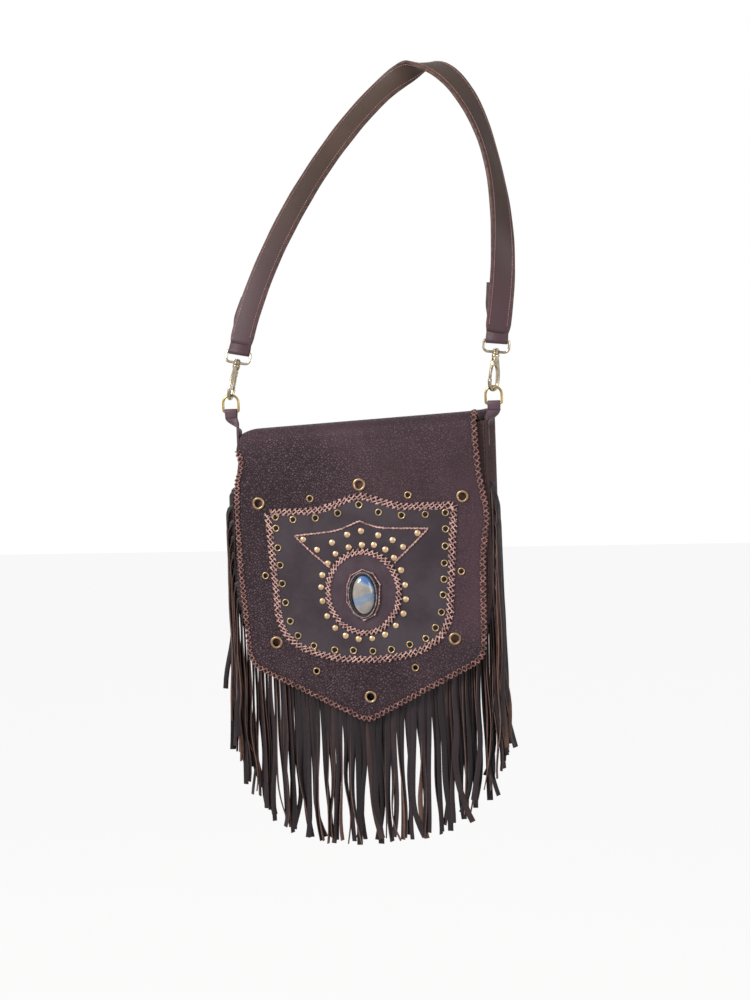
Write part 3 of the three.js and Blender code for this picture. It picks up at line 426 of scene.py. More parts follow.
def leaf(mid, out, front, back, edge):
    """A closed sheet over a grid of points, thick along out and rounded off towards its border."""
    rows, cols = mid.shape[:2]
    border = np.zeros((rows, cols), bool)
    border[[0, -1], :] = True
    border[:, [0, -1]] = True
    rim = mid[border]
    flat = mid.reshape(-1, 3)
    away = np.concatenate([np.sqrt(((flat[k:k + 2000, None] - rim[None]) ** 2).sum(-1)).min(1)
                           for k in range(0, len(flat), 2000)]).reshape(rows, cols)
    swell = np.sqrt(np.clip(1 - (1 - np.clip(away / edge, 0, 1)) ** 2, 0, 1))[..., None]
    top = mid + out * front * swell
    low = mid - out * back * swell
    points = np.concatenate([top.reshape(-1, 3), low[~border]])
    upper = np.arange(rows * cols).reshape(rows, cols)
    under = upper.copy()
    under[~border] = rows * cols + np.arange((~border).sum())

    def quads(i):
        return np.stack([i[:-1, :-1], i[1:, :-1], i[1:, 1:], i[:-1, 1:]], -1).reshape(-1, 4)

    faces = np.concatenate([quads(upper), quads(under)[:, ::-1]])
    flags = np.repeat([0, 1], (rows - 1) * (cols - 1))
    mark = np.exp(-away / 2.5)
    return points, faces.tolist(), flags, np.concatenate([mark.ravel(), mark[~border]])


def loft(rings, closed=False, caps=True):
    """A skin over rings of points that each close on themselves."""
    rings = np.asarray(rings, float)
    count, around = rings.shape[:2]
    index = np.arange(count * around).reshape(count, around)
    if closed:
        index = np.vstack([index, index[:1]])
    beside = np.roll(index, -1, axis=1)
    faces = np.stack([index[:-1], beside[:-1], beside[1:], index[1:]], -1).reshape(-1, 4).tolist()
    if caps and not closed:
        faces += [index[0][::-1].tolist(), index[-1].tolist()]
    return rings.reshape(-1, 3), faces


def round_angles(count):
    return np.linspace(0, 2 * math.pi, count, endpoint=False)


def lathe(profile, segments=24, closed=False, caps=True):
    """A round skin about Z, from radii and heights."""
    t = round_angles(segments)
    return loft([[(r * math.cos(a), r * math.sin(a), h) for a in t] for r, h in profile], closed, caps)


def spindle(x, z, steps, segments):
    """A round skin about a line along Y, from radii and depths."""
    t = round_angles(segments)
    return loft([[(x + r * math.cos(a), y, z + r * math.sin(a)) for a in t] for r, y in steps])


def joined(*parts):
    """Several lists of points and faces, with any flags and marks that go with them, as one."""
    points, faces, *marks = zip(*parts)
    bases = np.cumsum([0] + [len(p) for p in points]).tolist()
    faces = [[base + k for k in face] for base, part in zip(bases, faces) for face in part]
    return (np.vstack(points), faces, *(np.concatenate(m) for m in marks))


def facing(mid, way):
    """The same way out along Y at every point of a grid."""
    return np.broadcast_to([0.0, way, 0.0], mid.shape)


def outward(obj):
    """Faces turned to the outside of a closed piece, doubles merged first."""
    mesh = bmesh.new()
    mesh.from_mesh(obj.data)
    bmesh.ops.remove_doubles(mesh, verts=mesh.verts, dist=1e-6)
    bmesh.ops.recalc_face_normals(mesh, faces=mesh.faces)
    mesh.to_mesh(obj.data)
    mesh.free()
    return obj


def settled(obj):
    """The piece as a plain mesh, with its modifiers worked in."""
    graph = bpy.context.evaluated_depsgraph_get()
    mesh = bpy.data.meshes.new_from_object(obj.evaluated_get(graph))
    obj.modifiers.clear()
    old = obj.data
    obj.data = mesh
    bpy.data.meshes.remove(old)
    mesh.name = obj.name
    return obj


def forget(obj):
    data = obj.data
    bpy.data.objects.remove(obj)
    (bpy.data.curves if isinstance(data, bpy.types.Curve) else bpy.data.meshes).remove(data)


def drilled(obj, cutters):
    """The piece with other closed pieces cut out of it."""
    for cutter in cutters:
        modifier = obj.modifiers.new("cut", "BOOLEAN")
        modifier.object = cutter
        modifier.solver = "EXACT"
    settled(obj)
    for cutter in cutters:
        forget(cutter)
    return obj


def attach(obj, body, slot, *nodes):
    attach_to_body(obj, body)
    if nodes:
        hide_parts(*nodes)
    return obj


# Geometry Nodes trees: stitches laid on points, small pieces set on points, strips hung along lines.
def grown(obj, tree, values):
    modifier = obj.modifiers.new("grow", "NODES")
    modifier.node_group = tree
    for item in tree.interface.items_tree:
        if item.in_out == "INPUT" and item.name in values:
            modifier[item.identifier] = values[item.name]
    return settled(obj)


def geometry_tree(name, inputs):
    tree = bpy.data.node_groups.new(name, "GeometryNodeTree")
    first, last = ("Geometry", "NodeSocketGeometry"), ("Material", "NodeSocketMaterial", None)
    into, out = sockets(tree, [(*first, None), *inputs, last], [first])
    return tree, into.outputs, out


def named(tree, label, kind):
    return put(tree, "GeometryNodeInputNamedAttribute", {"Name": label}, data_type=kind).outputs["Attribute"]


def finished(tree, geometry, into, out):
    dressed = put(tree, "GeometryNodeSetMaterial", {"Geometry": geometry, "Material": into["Material"]})
    tree.links.new(dressed.outputs[0], out.inputs[0])


def laid_out(tree, into, out, shape, size):
    """Copies of a shape on the points, turned as marked, made real, smooth and given the material."""
    turn = put(tree, "FunctionNodeEulerToRotation", {0: named(tree, "turn", "FLOAT_VECTOR")})
    scale = put(tree, "ShaderNodeCombineXYZ", dict(zip("XYZ", size)))
    laid = put(tree, "GeometryNodeInstanceOnPoints", {
        "Points": into["Geometry"], "Instance": shape, "Rotation": turn.outputs[0],
        "Scale": scale.outputs[0]})
    real = put(tree, "GeometryNodeRealizeInstances", {0: laid.outputs[0]})
    shaded = put(tree, "GeometryNodeSetShadeSmooth", {"Geometry": real.outputs[0]})
    finished(tree, shaded.outputs[0], into, out)
    return tree


def stitch_tree():
    """Arched threads, as long as their points say."""
    tree, into, out = geometry_tree("laid stitches", [("Thread Radius", F, 0.0006), ("Arch", F, 0.0005)])
    peak = put(tree, "ShaderNodeCombineXYZ", {"Z": times(tree, into["Arch"], 2.0)})
    line = put(tree, "GeometryNodeCurveQuadraticBezier", {
        "Resolution": 5, "Start": (-0.5, 0, 0), "Middle": peak.outputs[0], "End": (0.5, 0, 0)})
    ring = put(tree, "GeometryNodeCurvePrimitiveCircle", {"Resolution": 6, "Radius": into["Thread Radius"]})
    thread = put(tree, "GeometryNodeCurveToMesh", {
        "Curve": line.outputs[0], "Profile Curve": ring.outputs[0], "Fill Caps": True})
    return laid_out(tree, into, out, thread.outputs[0], (named(tree, "stretch", "FLOAT"), 1.0, 1.0))


def setting_tree():
    """Copies of a small piece, as large as their points say."""
    tree, into, out = geometry_tree("set pieces", [("Piece", "NodeSocketObject", None)])
    shape = put(tree, "GeometryNodeObjectInfo", {"Object": into["Piece"], "As Instance": True})
    return laid_out(tree, into, out, shape.outputs["Geometry"], [named(tree, "stretch", "FLOAT")] * 3)


def hanging_tree():
    """Flat strips along lines, with a mark for their flesh side."""
    tree, into, out = geometry_tree("hanging strips", [("Width", F, 0.0055), ("Thickness", F, 0.0016)])
    line = put(tree, "GeometryNodeMeshToCurve", {"Mesh": into["Geometry"]})
    face = named(tree, "face", "FLOAT_VECTOR")
    turned = put(tree, "GeometryNodeSetCurveNormal", {"Curve": line.outputs[0]}, mode="FREE")
    tree.links.new(face, turned.inputs["Normal"])
    cut = put(tree, "GeometryNodeCurvePrimitiveQuadrilateral", {
        "Width": into["Thickness"], "Height": into["Width"]})
    soft = put(tree, "GeometryNodeFilletCurve", {
        "Curve": cut.outputs[0], "Radius": 0.00035, "Count": 1}, mode="POLY")
    strip = put(tree, "GeometryNodeCurveToMesh", {
        "Curve": turned.outputs[0], "Profile Curve": soft.outputs[0], "Scale": named(tree, "wide", "FLOAT"),
        "Fill Caps": True})
    side = put(tree, "ShaderNodeVectorMath", {0: put(tree, "GeometryNodeInputNormal").outputs[0], 1: face},
               operation="DOT_PRODUCT")
    kept = put(tree, "GeometryNodeStoreNamedAttribute", {
        "Geometry": strip.outputs[0], "Name": "flesh", "Value": times(tree, side.outputs["Value"], -1.0)},
        data_type="FLOAT", domain="FACE")
    finished(tree, put(tree, "GeometryNodeRealizeInstances", {0: kept.outputs[0]}).outputs[0], into, out)
    return tree


STITCHES, SETTINGS, HANGING = stitch_tree(), setting_tree(), hanging_tree()


def seeds(name, places, turns, stretch):
    """Bare points, each with its turn and its size, for pieces to be laid on."""
    return linked(name, bag_mesh(name, places, [], [], {"turn": turns, "stretch": stretch}))


def turned_to(along, out):
    x = Vector(along).normalized()
    z = Vector(out)
    z = (z - x * z.dot(x)).normalized()
    y = z.cross(x)
    return Matrix((x, y, z)).transposed().to_euler()


def sew(name, stitches, radius, arch, material):
    """Stitches given as start, end and the side they lie on."""
    a, b, out = (np.asarray(part, float) for part in zip(*stitches))
    turns = [turned_to(q - p, n) for p, q, n in zip(a, b, out)]
    obj = seeds(name, (a + b) / 2, turns, np.linalg.norm(b - a, axis=1) * MM)
    return grown(obj, STITCHES, {"Thread Radius": radius * MM, "Arch": arch * MM, "Material": material})


def turned_piece(name, profile, segments):
    """A round piece about Z at the origin."""
    points, faces = lathe(profile, segments, caps=False)
    return outward(piece(name, points - BAG_TOP, faces))


def set_pieces(name, base, places, outs, material, sizes=None):
    turns = [turned_to(np.cross((0.0, 0.0, 1.0), n), n) for n in outs]
    obj = seeds(name, places, turns, np.ones(len(places)) if sizes is None else sizes)
    grown(obj, SETTINGS, {"Piece": base, "Material": material})
    forget(base)
    return obj


class Path:
    """A line through points, read by the distance along it."""

    def __init__(self, points, closed=False):
        self.points = np.asarray(points, float)
        if closed:
            self.points = np.vstack([self.points, self.points[:1]])
        self.marks = np.concatenate([[0], np.cumsum(np.linalg.norm(np.diff(self.points, axis=0), axis=1))])
        self.length = self.marks[-1]

    def at(self, distance):
        return np.stack([np.interp(distance, self.marks, column) for column in self.points.T], -1)

    def ahead(self, distance, reach=1.5):
        after, before = (self.at(np.clip(distance + way * reach, 0, self.length)) for way in (1, -1))
        step = after - before
        return step / np.maximum(np.linalg.norm(step, axis=-1, keepdims=True), 1e-9)

    def beside(self, distance, depth):
        """A point to one side of a flat line."""
        ahead = self.ahead(distance)
        return self.at(distance) + np.array([-ahead[1], ahead[0]]) * depth


# Flap: one sheet from the seam at the back, over the fold and down to its point.
def flap_half(top, bow, corner, low, swell, at, spread):
    """One side of the flap's outline: half width and drop, from the fold to the point."""
    slope = (FLAP_DROP - low) / corner
    slant = np.array([1.0, slope]) / math.hypot(1.0, slope)
    turn = (corner - CORNER_ROUND * slant[0], low + CORNER_ROUND * slant[1])
    tip = (CORNER_ROUND * slant[0] / 2, FLAP_DROP - CORNER_ROUND * slant[1] / 2)
    side = bezier([(top, 0), (bow, low / 2), (corner, low - CORNER_ROUND)], 48)
    side[:, 0] += swell * np.exp(-((side[:, 1] - at) / spread) ** 2)
    round_off = bezier([side[-1], (corner, low), turn], 14)
    point = bezier([tip, (0, FLAP_DROP), (-tip[0], tip[1])], 6, until=0.5)
    return np.vstack([side, round_off[1:], point])


LEFT_EDGE = flap_half(146.0, 152.0, 140.5, 281.0, -5.6, 38.5, 16.0)
RIGHT_EDGE = flap_half(136.0, 144.0, 140.5, 275.5, 7.0, 110.0, 34.0)


def top_droop(x):
    """How far the bag's mouth hangs below its straight top: more to the left, most at the left corner."""
    return 1.8 - 0.05 * x + 5.0 * np.clip((-x - 122) / 20, 0, 1) ** 2


def panel_half(z):
    """Half the panels' width at a height."""
    low = np.clip(-z - STRAIGHT, 0, CORNER)
    return HALF_WIDTH - CORNER + np.sqrt(CORNER ** 2 - low ** 2)


def inside_share(x, z):
    """0 on the sewn border, 1 well inside the panel."""
    return smooth((panel_half(z) - np.abs(x)) / 40) * smooth((HEIGHT + z) / 40)


def back_swell(x, z):
    """How far the back panel stands out."""
    fold = 1.3 * np.sin(x / 37 + 0.012 * z + 1.0) * np.sin(z / 60) + 0.8 * np.sin(x / 21 - z / 44)
    return inside_share(x, z) * (2.2 + fold)


def flap_relief(x, s):
    """How far the flap stands out in front: its belly, soft waves, and a flutter along its sides."""
    drop = s - FLAP_START
    belly = 2.4 * np.clip(1 - (x / 150) ** 2, 0, 1) * np.sin(math.pi * np.clip(drop / FLAP_DROP, 0, 1))
    waves = 0.8 * np.sin(x / 41 + 0.7) * np.sin(drop / 57 + 0.6) + 0.5 * np.sin(x / 23 - drop / 37)
    flutter = 1.7 * np.clip((np.abs(x) - 95) / 45, 0, 1) ** 2 * np.sin(drop / 38 + 1.1 * np.sign(x))
    return smooth((s - 30) / 70) * (belly + waves + flutter + 0.7)


def flap_surface(x, s, lift):
    """A point on the flap, a given height above the middle of its leather, and the way out there."""
    x, s, lift = np.broadcast_arrays(np.asarray(x, float), np.asarray(s, float), np.asarray(lift, float))
    turn, over = np.clip((s - FLAP_FLAT) / FOLD, 0, QUARTER), np.clip(-s / HEM_BEND, 0, QUARTER)
    front = np.clip(s - FLAP_FLAT - FOLD * QUARTER, 0, None)
    behind = np.clip(-s - HEM_BEND * QUARTER, 0, None)
    out = np.stack([np.zeros_like(x), np.sin(over) - np.sin(turn), np.cos(turn) * np.cos(over)], -1)
    at = np.stack([x, HINGE_Y - np.clip(s, 0, FLAP_FLAT) - FOLD * np.sin(turn) + HEM_BEND * np.sin(over),
                   -FOLD * (1 - np.cos(turn)) - front - HEM_BEND * (1 - np.cos(over)) - behind], -1)
    # The leather sinks behind the fold, and its right corner turns down beside the tab.
    sunk = (4.5 * (1 - smooth(s / 34)) - 0.9 * (1 - smooth(np.abs(s) / 8))) * (1 - smooth((x - 90) / 40))
    ear = 18.0 * smooth((s - 8) / 26) * (1 - smooth((s - 37) / 7)) * smooth((x - 132) / 9)
    ear += 14.0 * smooth((x - 142) / 9) * (1 - smooth((s - 34) / 8)) * (1 - 0.7 * smooth((s - 8) / 26))
    at[..., 2] -= top_droop(x) * (1 - smooth((s - 66) / 80)) + sunk + ear
    at[..., 1] += np.sin(over) * back_swell(x, at[..., 2])
    return at + out * (lift + flap_relief(x, s))[..., None], out


def on_flap(x, drop, lift=0.0):
    """A point on the front face of the flap."""
    return flap_surface(x, np.asarray(drop, float) + FLAP_START, LEATHER / 2 + np.asarray(lift, float))[0]


# Patches: shield with a brace-shaped top, oval, stone and its laced rim.
def shield_half():
    """One side of the shield's outline: half width and drop, from the top corner to the point."""
    side = 0.68 * (SHIELD_POINT - SHIELD_TOP)
    low = SHIELD_TOP + side
    reach = SHIELD_HALF - 0.072 * side
    left = SHIELD_POINT - low
    curve = bezier([(reach, low), (0.97 * reach, low + 0.665 * left), (0.62 * reach, SHIELD_POINT - 1),
                    (0, SHIELD_POINT)], 50)
    straight = np.linspace((SHIELD_HALF, SHIELD_TOP), (reach, low), 40)
    return np.vstack([straight, curve[1:]])


SHIELD_EDGE = shield_half()
BRACE = bezier([(0, SHIELD_PEAK), (0.16 * SHIELD_HALF, 0.85 * SHIELD_PEAK), (0.32 * SHIELD_HALF, 0),
                (0.55 * SHIELD_HALF, 0)], 40)


def brace(x, share):
    """How far the shield's upper part is raised: its peak, and its tilt to the right."""
    rise = np.interp(np.abs(x), BRACE[:, 0], BRACE[:, 1]) + SHIELD_TILT * x
    return rise * np.clip(1 - share, 0, 1) ** 2


def shield_loop():
    """The shield's outline from the peak round to the peak."""
    low = SHIELD_EDGE[1:]
    share = (low[:, 1] - SHIELD_TOP) / (SHIELD_POINT - SHIELD_TOP)
    sides = []
    for side in (1, -1):
        top = [(side * x, SHIELD_TOP - float(brace(side * x, 0.0))) for x in np.linspace(0, SHIELD_HALF, 60)]
        tilt = SHIELD_TILT * side * low[:, 0] * np.clip(1 - share, 0, 1) ** 2
        sides.append(np.vstack([top, np.stack([side * low[:, 0], low[:, 1] - tilt], -1)]))
    return Path(np.vstack([sides[0], sides[1][::-1][1:-1]]), closed=True)


LARGE_SPOTS = [(0, 73.5), (-120.5, 93), (119, 90), (-105, 255), (105, 252), (4, 319)]
SMALL_SPOTS = [(-58.5, 88.5), (56.5, 87), (-115, 177), (115, 175), (-58.4, 288.5), (58, 285)]
LARGE_FLANGE, LARGE_HOLE, SMALL_FLANGE, SMALL_HOLE = 14.8, 8.6, 8.8, 5.2


def flap():
    """The flap's leather from its hem to its point, with holes for the eyelets."""
    s = np.concatenate([[-HEM, 0.5 - HEM, 1.2 - HEM], np.linspace(3 - HEM, -4, 5), np.linspace(-3.6, 0, 9),
                        [0.6, 1.4], np.linspace(3, FLAP_START + FOLD, 30),
                        FLAP_START + np.linspace(18, 255, 92),
                        FLAP_START + np.linspace(256.5, FLAP_DROP - 2.1, 62)])
    drop = s - FLAP_START
    left = np.interp(drop, LEFT_EDGE[:, 1], LEFT_EDGE[:, 0]) - 5.0 * (1 - smooth((drop + 6) / 30))
    right = (np.interp(drop, RIGHT_EDGE[:, 1], RIGHT_EDGE[:, 0]) + 6.5 * smooth((43 - s) / 5)
             + 7.0 * smooth((29 - s) / 8))
    right -= 19.5 * smooth(-s / 3)
    u = np.linspace(-0.97, 0.97, 92)
    u = np.concatenate([[-1, -0.9965, -0.99, -0.982], u, [0.982, 0.99, 0.9965, 1]])
    x = np.where(u < 0, u * left[:, None], u * right[:, None])
    mid, out = flap_surface(x, s[:, None] + 0 * x, 0.0)
    points, faces, flags, edge = leaf(mid, out, LEATHER / 2, LEATHER / 2, EDGE_ROUND)
    across, down = points[:, 0], -points[:, 2]
    bold = (smooth((40 - across) / 130) * 0.9 + 0.8 * smooth((down - 215) / 60)
            - 0.7 * smooth((48 - down) / 40))
    # The flap is marked round the shield's outline too, so that it darkens there: painted shade along the
    # shield's border.
    around = shield_loop().points[::2]
    gap = np.sqrt(((points[:, None, [0, 2]] - around * [1, -1]) ** 2).sum(-1)).min(1)
    edge = np.maximum(edge, np.exp(-gap / 2.2) * (points[:, 1] < -20))
    obj = piece("flap_leather", points, faces, FLAP_LEATHER, FLESH, flags=flags,
                marks={"edge": edge, "bold": np.clip(bold, 0, 1)})
    holes = [(*p, LARGE_HOLE) for p in LARGE_SPOTS] + [(*p, SMALL_HOLE) for p in SMALL_SPOTS]
    return drilled(obj, [
        outward(piece(f"hole_{k}", *spindle(x, -drop, [(hole / 2 + 0.4, y) for y in (-45.0, -20.0)], 24)))
        for k, (x, drop, hole) in enumerate(holes)])


bent_flap = flap()
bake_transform(bent_flap)
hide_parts("flap")


def shield():
    share = np.concatenate([[0, 0.003, 0.007, 0.014], np.linspace(0.028, 0.86, 54),
                            1 - 0.14 * np.linspace(0.95, 0, 34) ** 2])
    drop = SHIELD_TOP + share * (SHIELD_POINT - SHIELD_TOP)
    half = np.maximum(np.interp(drop, SHIELD_EDGE[:, 1], SHIELD_EDGE[:, 0]), 0.4)
    u = np.concatenate([[-1, -0.996, -0.989, -0.98], np.linspace(-0.965, 0.965, 74), [0.98, 0.989, 0.996, 1]])
    x = u[None, :] * half[:, None]
    z = drop[:, None] - brace(x, share[:, None])
    mid = on_flap(x, z, 0.12)
    points, faces, _, edge = leaf(mid, facing(mid, -1.0), SHIELD_THICK, 0.0, 1.3)
    # The shield is marked round the oval's outline, so that it darkens there: painted shade under the oval's
    # edge.
    away = np.hypot((points[:, 0] - OVAL_X) / OVAL_A, (-points[:, 2] - OVAL_DROP) / OVAL_B) - 1
    edge = np.maximum(edge, np.exp(-np.abs(away) * 44.0 / 2.2))
    return piece("shield_nubuck", points, faces, NUBUCK, marks={"edge": edge})


attach(shield(), "flap", "patch", "shield_patch")


def oval_skin(name, steps, middle, segments, material, closed=False, base=0.0):
    """Rings of an oval on the flap: half width, half height and height above the flap's face."""
    t = round_angles(segments)
    rings = [on_flap(middle[0] + a * np.cos(t), middle[1] + b * np.sin(t), base + h) for a, b, h in steps]
    points, faces = loft(rings, closed=closed)
    edge = np.repeat([math.exp((a - steps[0][0]) / 2.5) for a, _, _ in steps], segments)
    return outward(piece(name, points, faces, material, marks={"edge": np.clip(edge, 0, 1)}))


def oval():
    base = SHIELD_THICK + 0.2
    steps = [(OVAL_A, OVAL_B, 0.0)]
    for t in QUARTER * np.arange(1, 6) / 5:
        back = 1.3 * (1 - math.cos(t))
        steps.append((OVAL_A - back, OVAL_B - back, OVAL_THICK * math.sin(t)))
    steps += [(OVAL_A * k, OVAL_B * k, OVAL_THICK) for k in (0.9, 0.7, 0.45, 0.2, 0.02)]
    # The outer edge mark darkens the oval's rim: painted shade under its lacing.
    return oval_skin("oval_nubuck", steps, (OVAL_X, OVAL_DROP), 96, OVAL_NUBUCK, base=base)


attach(oval(), "flap", "patch", "oval_patch")
STONE_SEAT = SHIELD_THICK + OVAL_THICK + 0.4


def stone():
    steps = [(STONE_A, STONE_B, 0.0), (STONE_A, STONE_B, 0.22 * STONE_RISE)]
    for k in range(1, 14):
        t = QUARTER * k / 13
        share = max(max(math.cos(t), 0.0) ** 0.75, 0.015)
        steps.append((STONE_A * share, STONE_B * share, STONE_RISE * (0.22 + 0.78 * math.sin(t))))
    return oval_skin("stone_cabochon", steps, (STONE_X, STONE_DROP), 72, STONE, base=STONE_SEAT)


attach(stone(), "flap", "stone", "stone")


def stone_rim():
    """The leather rim laced round the stone."""
    profile = [(0.25, 0.0), (0.25, 2.0), (0.5, 2.9), (1.2, 3.4), (2.0, 3.3), (2.9, 2.7), (3.6, 1.7),
               (4.4, 1.2), (5.6, 1.1), (6.6, 0.9), (7.0, 0.4), (7.1, 0.0)]
    steps = [(STONE_A + 0.15 + r, STONE_B + 0.15 + r, h) for r, h in profile]
    return oval_skin("stone_rim", steps, (STONE_X, STONE_DROP), 96, RIM_LEATHER, closed=True,
                     base=STONE_SEAT - 0.2)


attach(stone_rim(), "flap", "patch", "stone_bezel")

# Eyelets and studs.
OUT = (0.0, -1.0, 0.0)


def eyelet(name, outside, hole, rise):
    a, b = hole / 2, outside / 2
    profile = [(a, -1.6), (a, 0.35 * rise), (a + 0.25 * (b - a), 0.82 * rise), ((a + b) / 2, rise),
               (a + 0.78 * (b - a), 0.8 * rise), (b - 0.1, 0.32 * rise), (b, 0.02), (b - 0.25, -0.25),
               (a + 0.5, -0.25), (a + 0.45, -1.6), (a, -1.6)]
    return turned_piece(name, profile, 26)


def eyelets(name, spots, outside, hole, rise, lift, material):
    places = [on_flap(x, d, lift) for x, d in spots]
    sizes = rng.uniform(0.97, 1.03, len(places))
    one = eyelet(name + "_one", outside, hole, rise)
    return set_pieces(name, one, places, [OUT] * len(places), material, sizes)


attach(eyelets("large_eyelets", LARGE_SPOTS, LARGE_FLANGE, LARGE_HOLE, 1.5, 0.1, COPPERY), "flap", "eyelet",
       *("large_eyelet_" + n for n in ("top", "upper_left", "upper_right", "lower_left", "lower_right",
                                       "point")))
attach(eyelets("small_eyelets", SMALL_SPOTS, SMALL_FLANGE, SMALL_HOLE, 1.2, 0.1, PALE_BRASS), "flap",
       "eyelet", *(f"small_eyelet_{place}_{side}" for place in ("above", "beside", "below")
                   for side in ("left", "right")))
SHIELD_SPOTS = [
    (-100.2, 109.1), (-79.2, 112.3), (-52.3, 111.0), (-25.6, 105.9), (-0.5, 96.7), (22.1, 105.8),
    (48.7, 109.8), (76.3, 109.3), (99.4, 107.8), (99.0, 126.3), (97.9, 145.8), (96.2, 165.2), (95.2, 183.6),
    (93.5, 201.4), (90.8, 221.2), (83.3, 239.0), (71.7, 251.2), (52.8, 258.0), (31.1, 263.7), (9.3, 265.5),
    (-13.6, 264.6), (-35.6, 264.0), (-60.0, 258.8), (-78.3, 246.9), (-86.8, 229.9), (-91.6, 208.2),
    (-94.7, 186.3), (-96.5, 164.9), (-98.6, 144.7), (-100.0, 122.1)]
attach(eyelets("shield_eyelets", SHIELD_SPOTS, SMALL_FLANGE, SMALL_HOLE, 1.3, SHIELD_THICK + 0.1, PALE_BRASS),
       "flap", "eyelet")


def eyelet_hole_shade():
    """Near-black discs just under the rims of the shield's small eyelets: painted shade in the holes."""
    t = round_angles(14)
    across, down = SMALL_HOLE / 2 * np.cos(t), SMALL_HOLE / 2 * np.sin(t)
    discs = [loft([on_flap(x + across, d + down, SHIELD_THICK + lift) for lift in (0.55, -0.4)])
             for x, d in SHIELD_SPOTS]
    return outward(piece("eyelet_floors", *joined(*discs), PAINTED_HOLE_SHADE))


attach(eyelet_hole_shade(), "flap", "patch")
STUD_SPOTS = [
    (1.0, 126.9), (-15.4, 130.7), (20.9, 132.1), (-33.6, 139.5), (37.3, 138.0), (-67.9, 135.4),
    (66.5, 130.4), (-51.7, 147.6), (49.2, 146.0), (1.4, 142.9), (-14.2, 145.4), (-30.0, 152.6),
    (-39.5, 163.4), (-46.6, 176.9), (-48.8, 190.9), (-47.6, 207.0), (-42.9, 224.5), (-34.0, 238.4),
    (-22.0, 247.4), (-6.9, 251.4), (9.1, 250.8), (24.4, 246.4), (37.4, 236.0), (46.8, 222.4), (50.2, 206.0),
    (49.8, 189.6), (45.8, 172.5), (38.1, 158.3), (28.4, 148.6), (15.4, 143.1)]


def studs():
    places = [on_flap(x, d, SHIELD_THICK + 0.05) for x, d in STUD_SPOTS]
    profile = [(3.75, -0.4), (3.75, 0.15), (3.6, 0.6), (3.1, 1.1), (2.3, 1.5), (1.2, 1.72), (0.02, 1.8)]
    base = turned_piece("stud_one", [(0.02, -0.4)] + profile, 18)
    sizes = rng.uniform(0.95, 1.05, len(places))
    return set_pieces("dome_studs", base, places, [OUT] * len(places), STUD_METAL, sizes)


attach(studs(), "flap", "eyelet")


# Thread on the flap.
LACE_PITCH, OVAL_PITCH, LACE_RADIUS, WING_RADIUS = 6.1, 5.4, 0.7, 0.74


def crossed(path, pitch, inner, outer, place, reach, jitter):
    """Crossed stitches round a closed path: the lower and the upper diagonal of each cell."""
    cells = int(path.length // pitch)
    pitch = path.length / cells
    stitches = []
    for k in range(cells):
        for over, way in enumerate((1, -1)):
            half = way * reach[over] * pitch / 2
            shake = rng.uniform(-jitter, jitter, 4)
            start = path.beside(((k + 0.5) * pitch - half + shake[0]) % path.length, -outer + shake[1])
            end = path.beside(((k + 0.5) * pitch + half + shake[2]) % path.length, inner + shake[3])
            stitches.append((place(*start, True, over), place(*end, False, over), OUT))
    return stitches


def on_shield_edge(x, drop, low, over):
    return on_flap(x, drop, (0.45 if low else SHIELD_THICK + 0.4) + 0.45 * over)


def on_oval_edge(x, drop, low, over):
    return on_flap(x, drop, SHIELD_THICK + (0.45 if low else OVAL_THICK + 0.5) + 0.4 * over)


def on_wing(x, drop):
    return on_flap(x, drop, SHIELD_THICK + 0.6)


def oval_loop():
    t = round_angles(160)
    return Path(np.stack([OVAL_X + OVAL_A * np.sin(t), OVAL_DROP - OVAL_B * np.cos(t)], -1), closed=True)


def wing_lines():
    """The stitched line across the shield, and the two that fall from its ends towards the oval."""
    left = np.vstack([[(-78, 131), (-56, 129)], bezier([(-35, 127), (-22, 125), (-10, 119), (0, 115)], 10)])
    right = np.vstack([bezier([(0, 115), (8, 119), (16, 123), (30, 124)], 10), [(55, 124.5), (79, 125.5)]])
    return [Path(np.vstack([left, right[1:]])), Path([(-78, 131), (-60, 149), (-37.5, 168.5)]),
            Path([(79, 125.5), (60, 144), (38.5, 164)])]


def running(path, length, gap, place, jitter, slant):
    """Stitches one after another along a path, each turned a little."""
    count = max(int(path.length // (length + gap)), 1)
    step = path.length / count
    stitches = []
    for k in range(count):
        a, b = path.at(k * step + gap / 2), path.at((k + 1) * step - gap / 2)
        a, b = a + rng.uniform(-jitter, jitter, a.shape), b + rng.uniform(-jitter, jitter, b.shape)
        aside = (b - a)[::-1] * [-1, 1] / np.linalg.norm(b - a) * slant
        stitches.append((place(*(a + aside)), place(*(b - aside)), OUT))
    return stitches


shield_cross = crossed(shield_loop(), LACE_PITCH, 4.6, 3.2, on_shield_edge, (0.95, 1.85), 0.65)
oval_cross = crossed(oval_loop(), OVAL_PITCH, 3.4, 3.0, on_oval_edge, (0.95, 1.75), 0.55)
attach(sew("shield_lacing", shield_cross + oval_cross, LACE_RADIUS, 0.7, THREAD), "flap", "patch")
wing = [s for line in wing_lines() for s in running(line, 5.4, -1.4, on_wing, 0.25, 0.6)]
attach(sew("wing_backstitch", wing, WING_RADIUS, 0.5, THREAD), "flap", "patch")


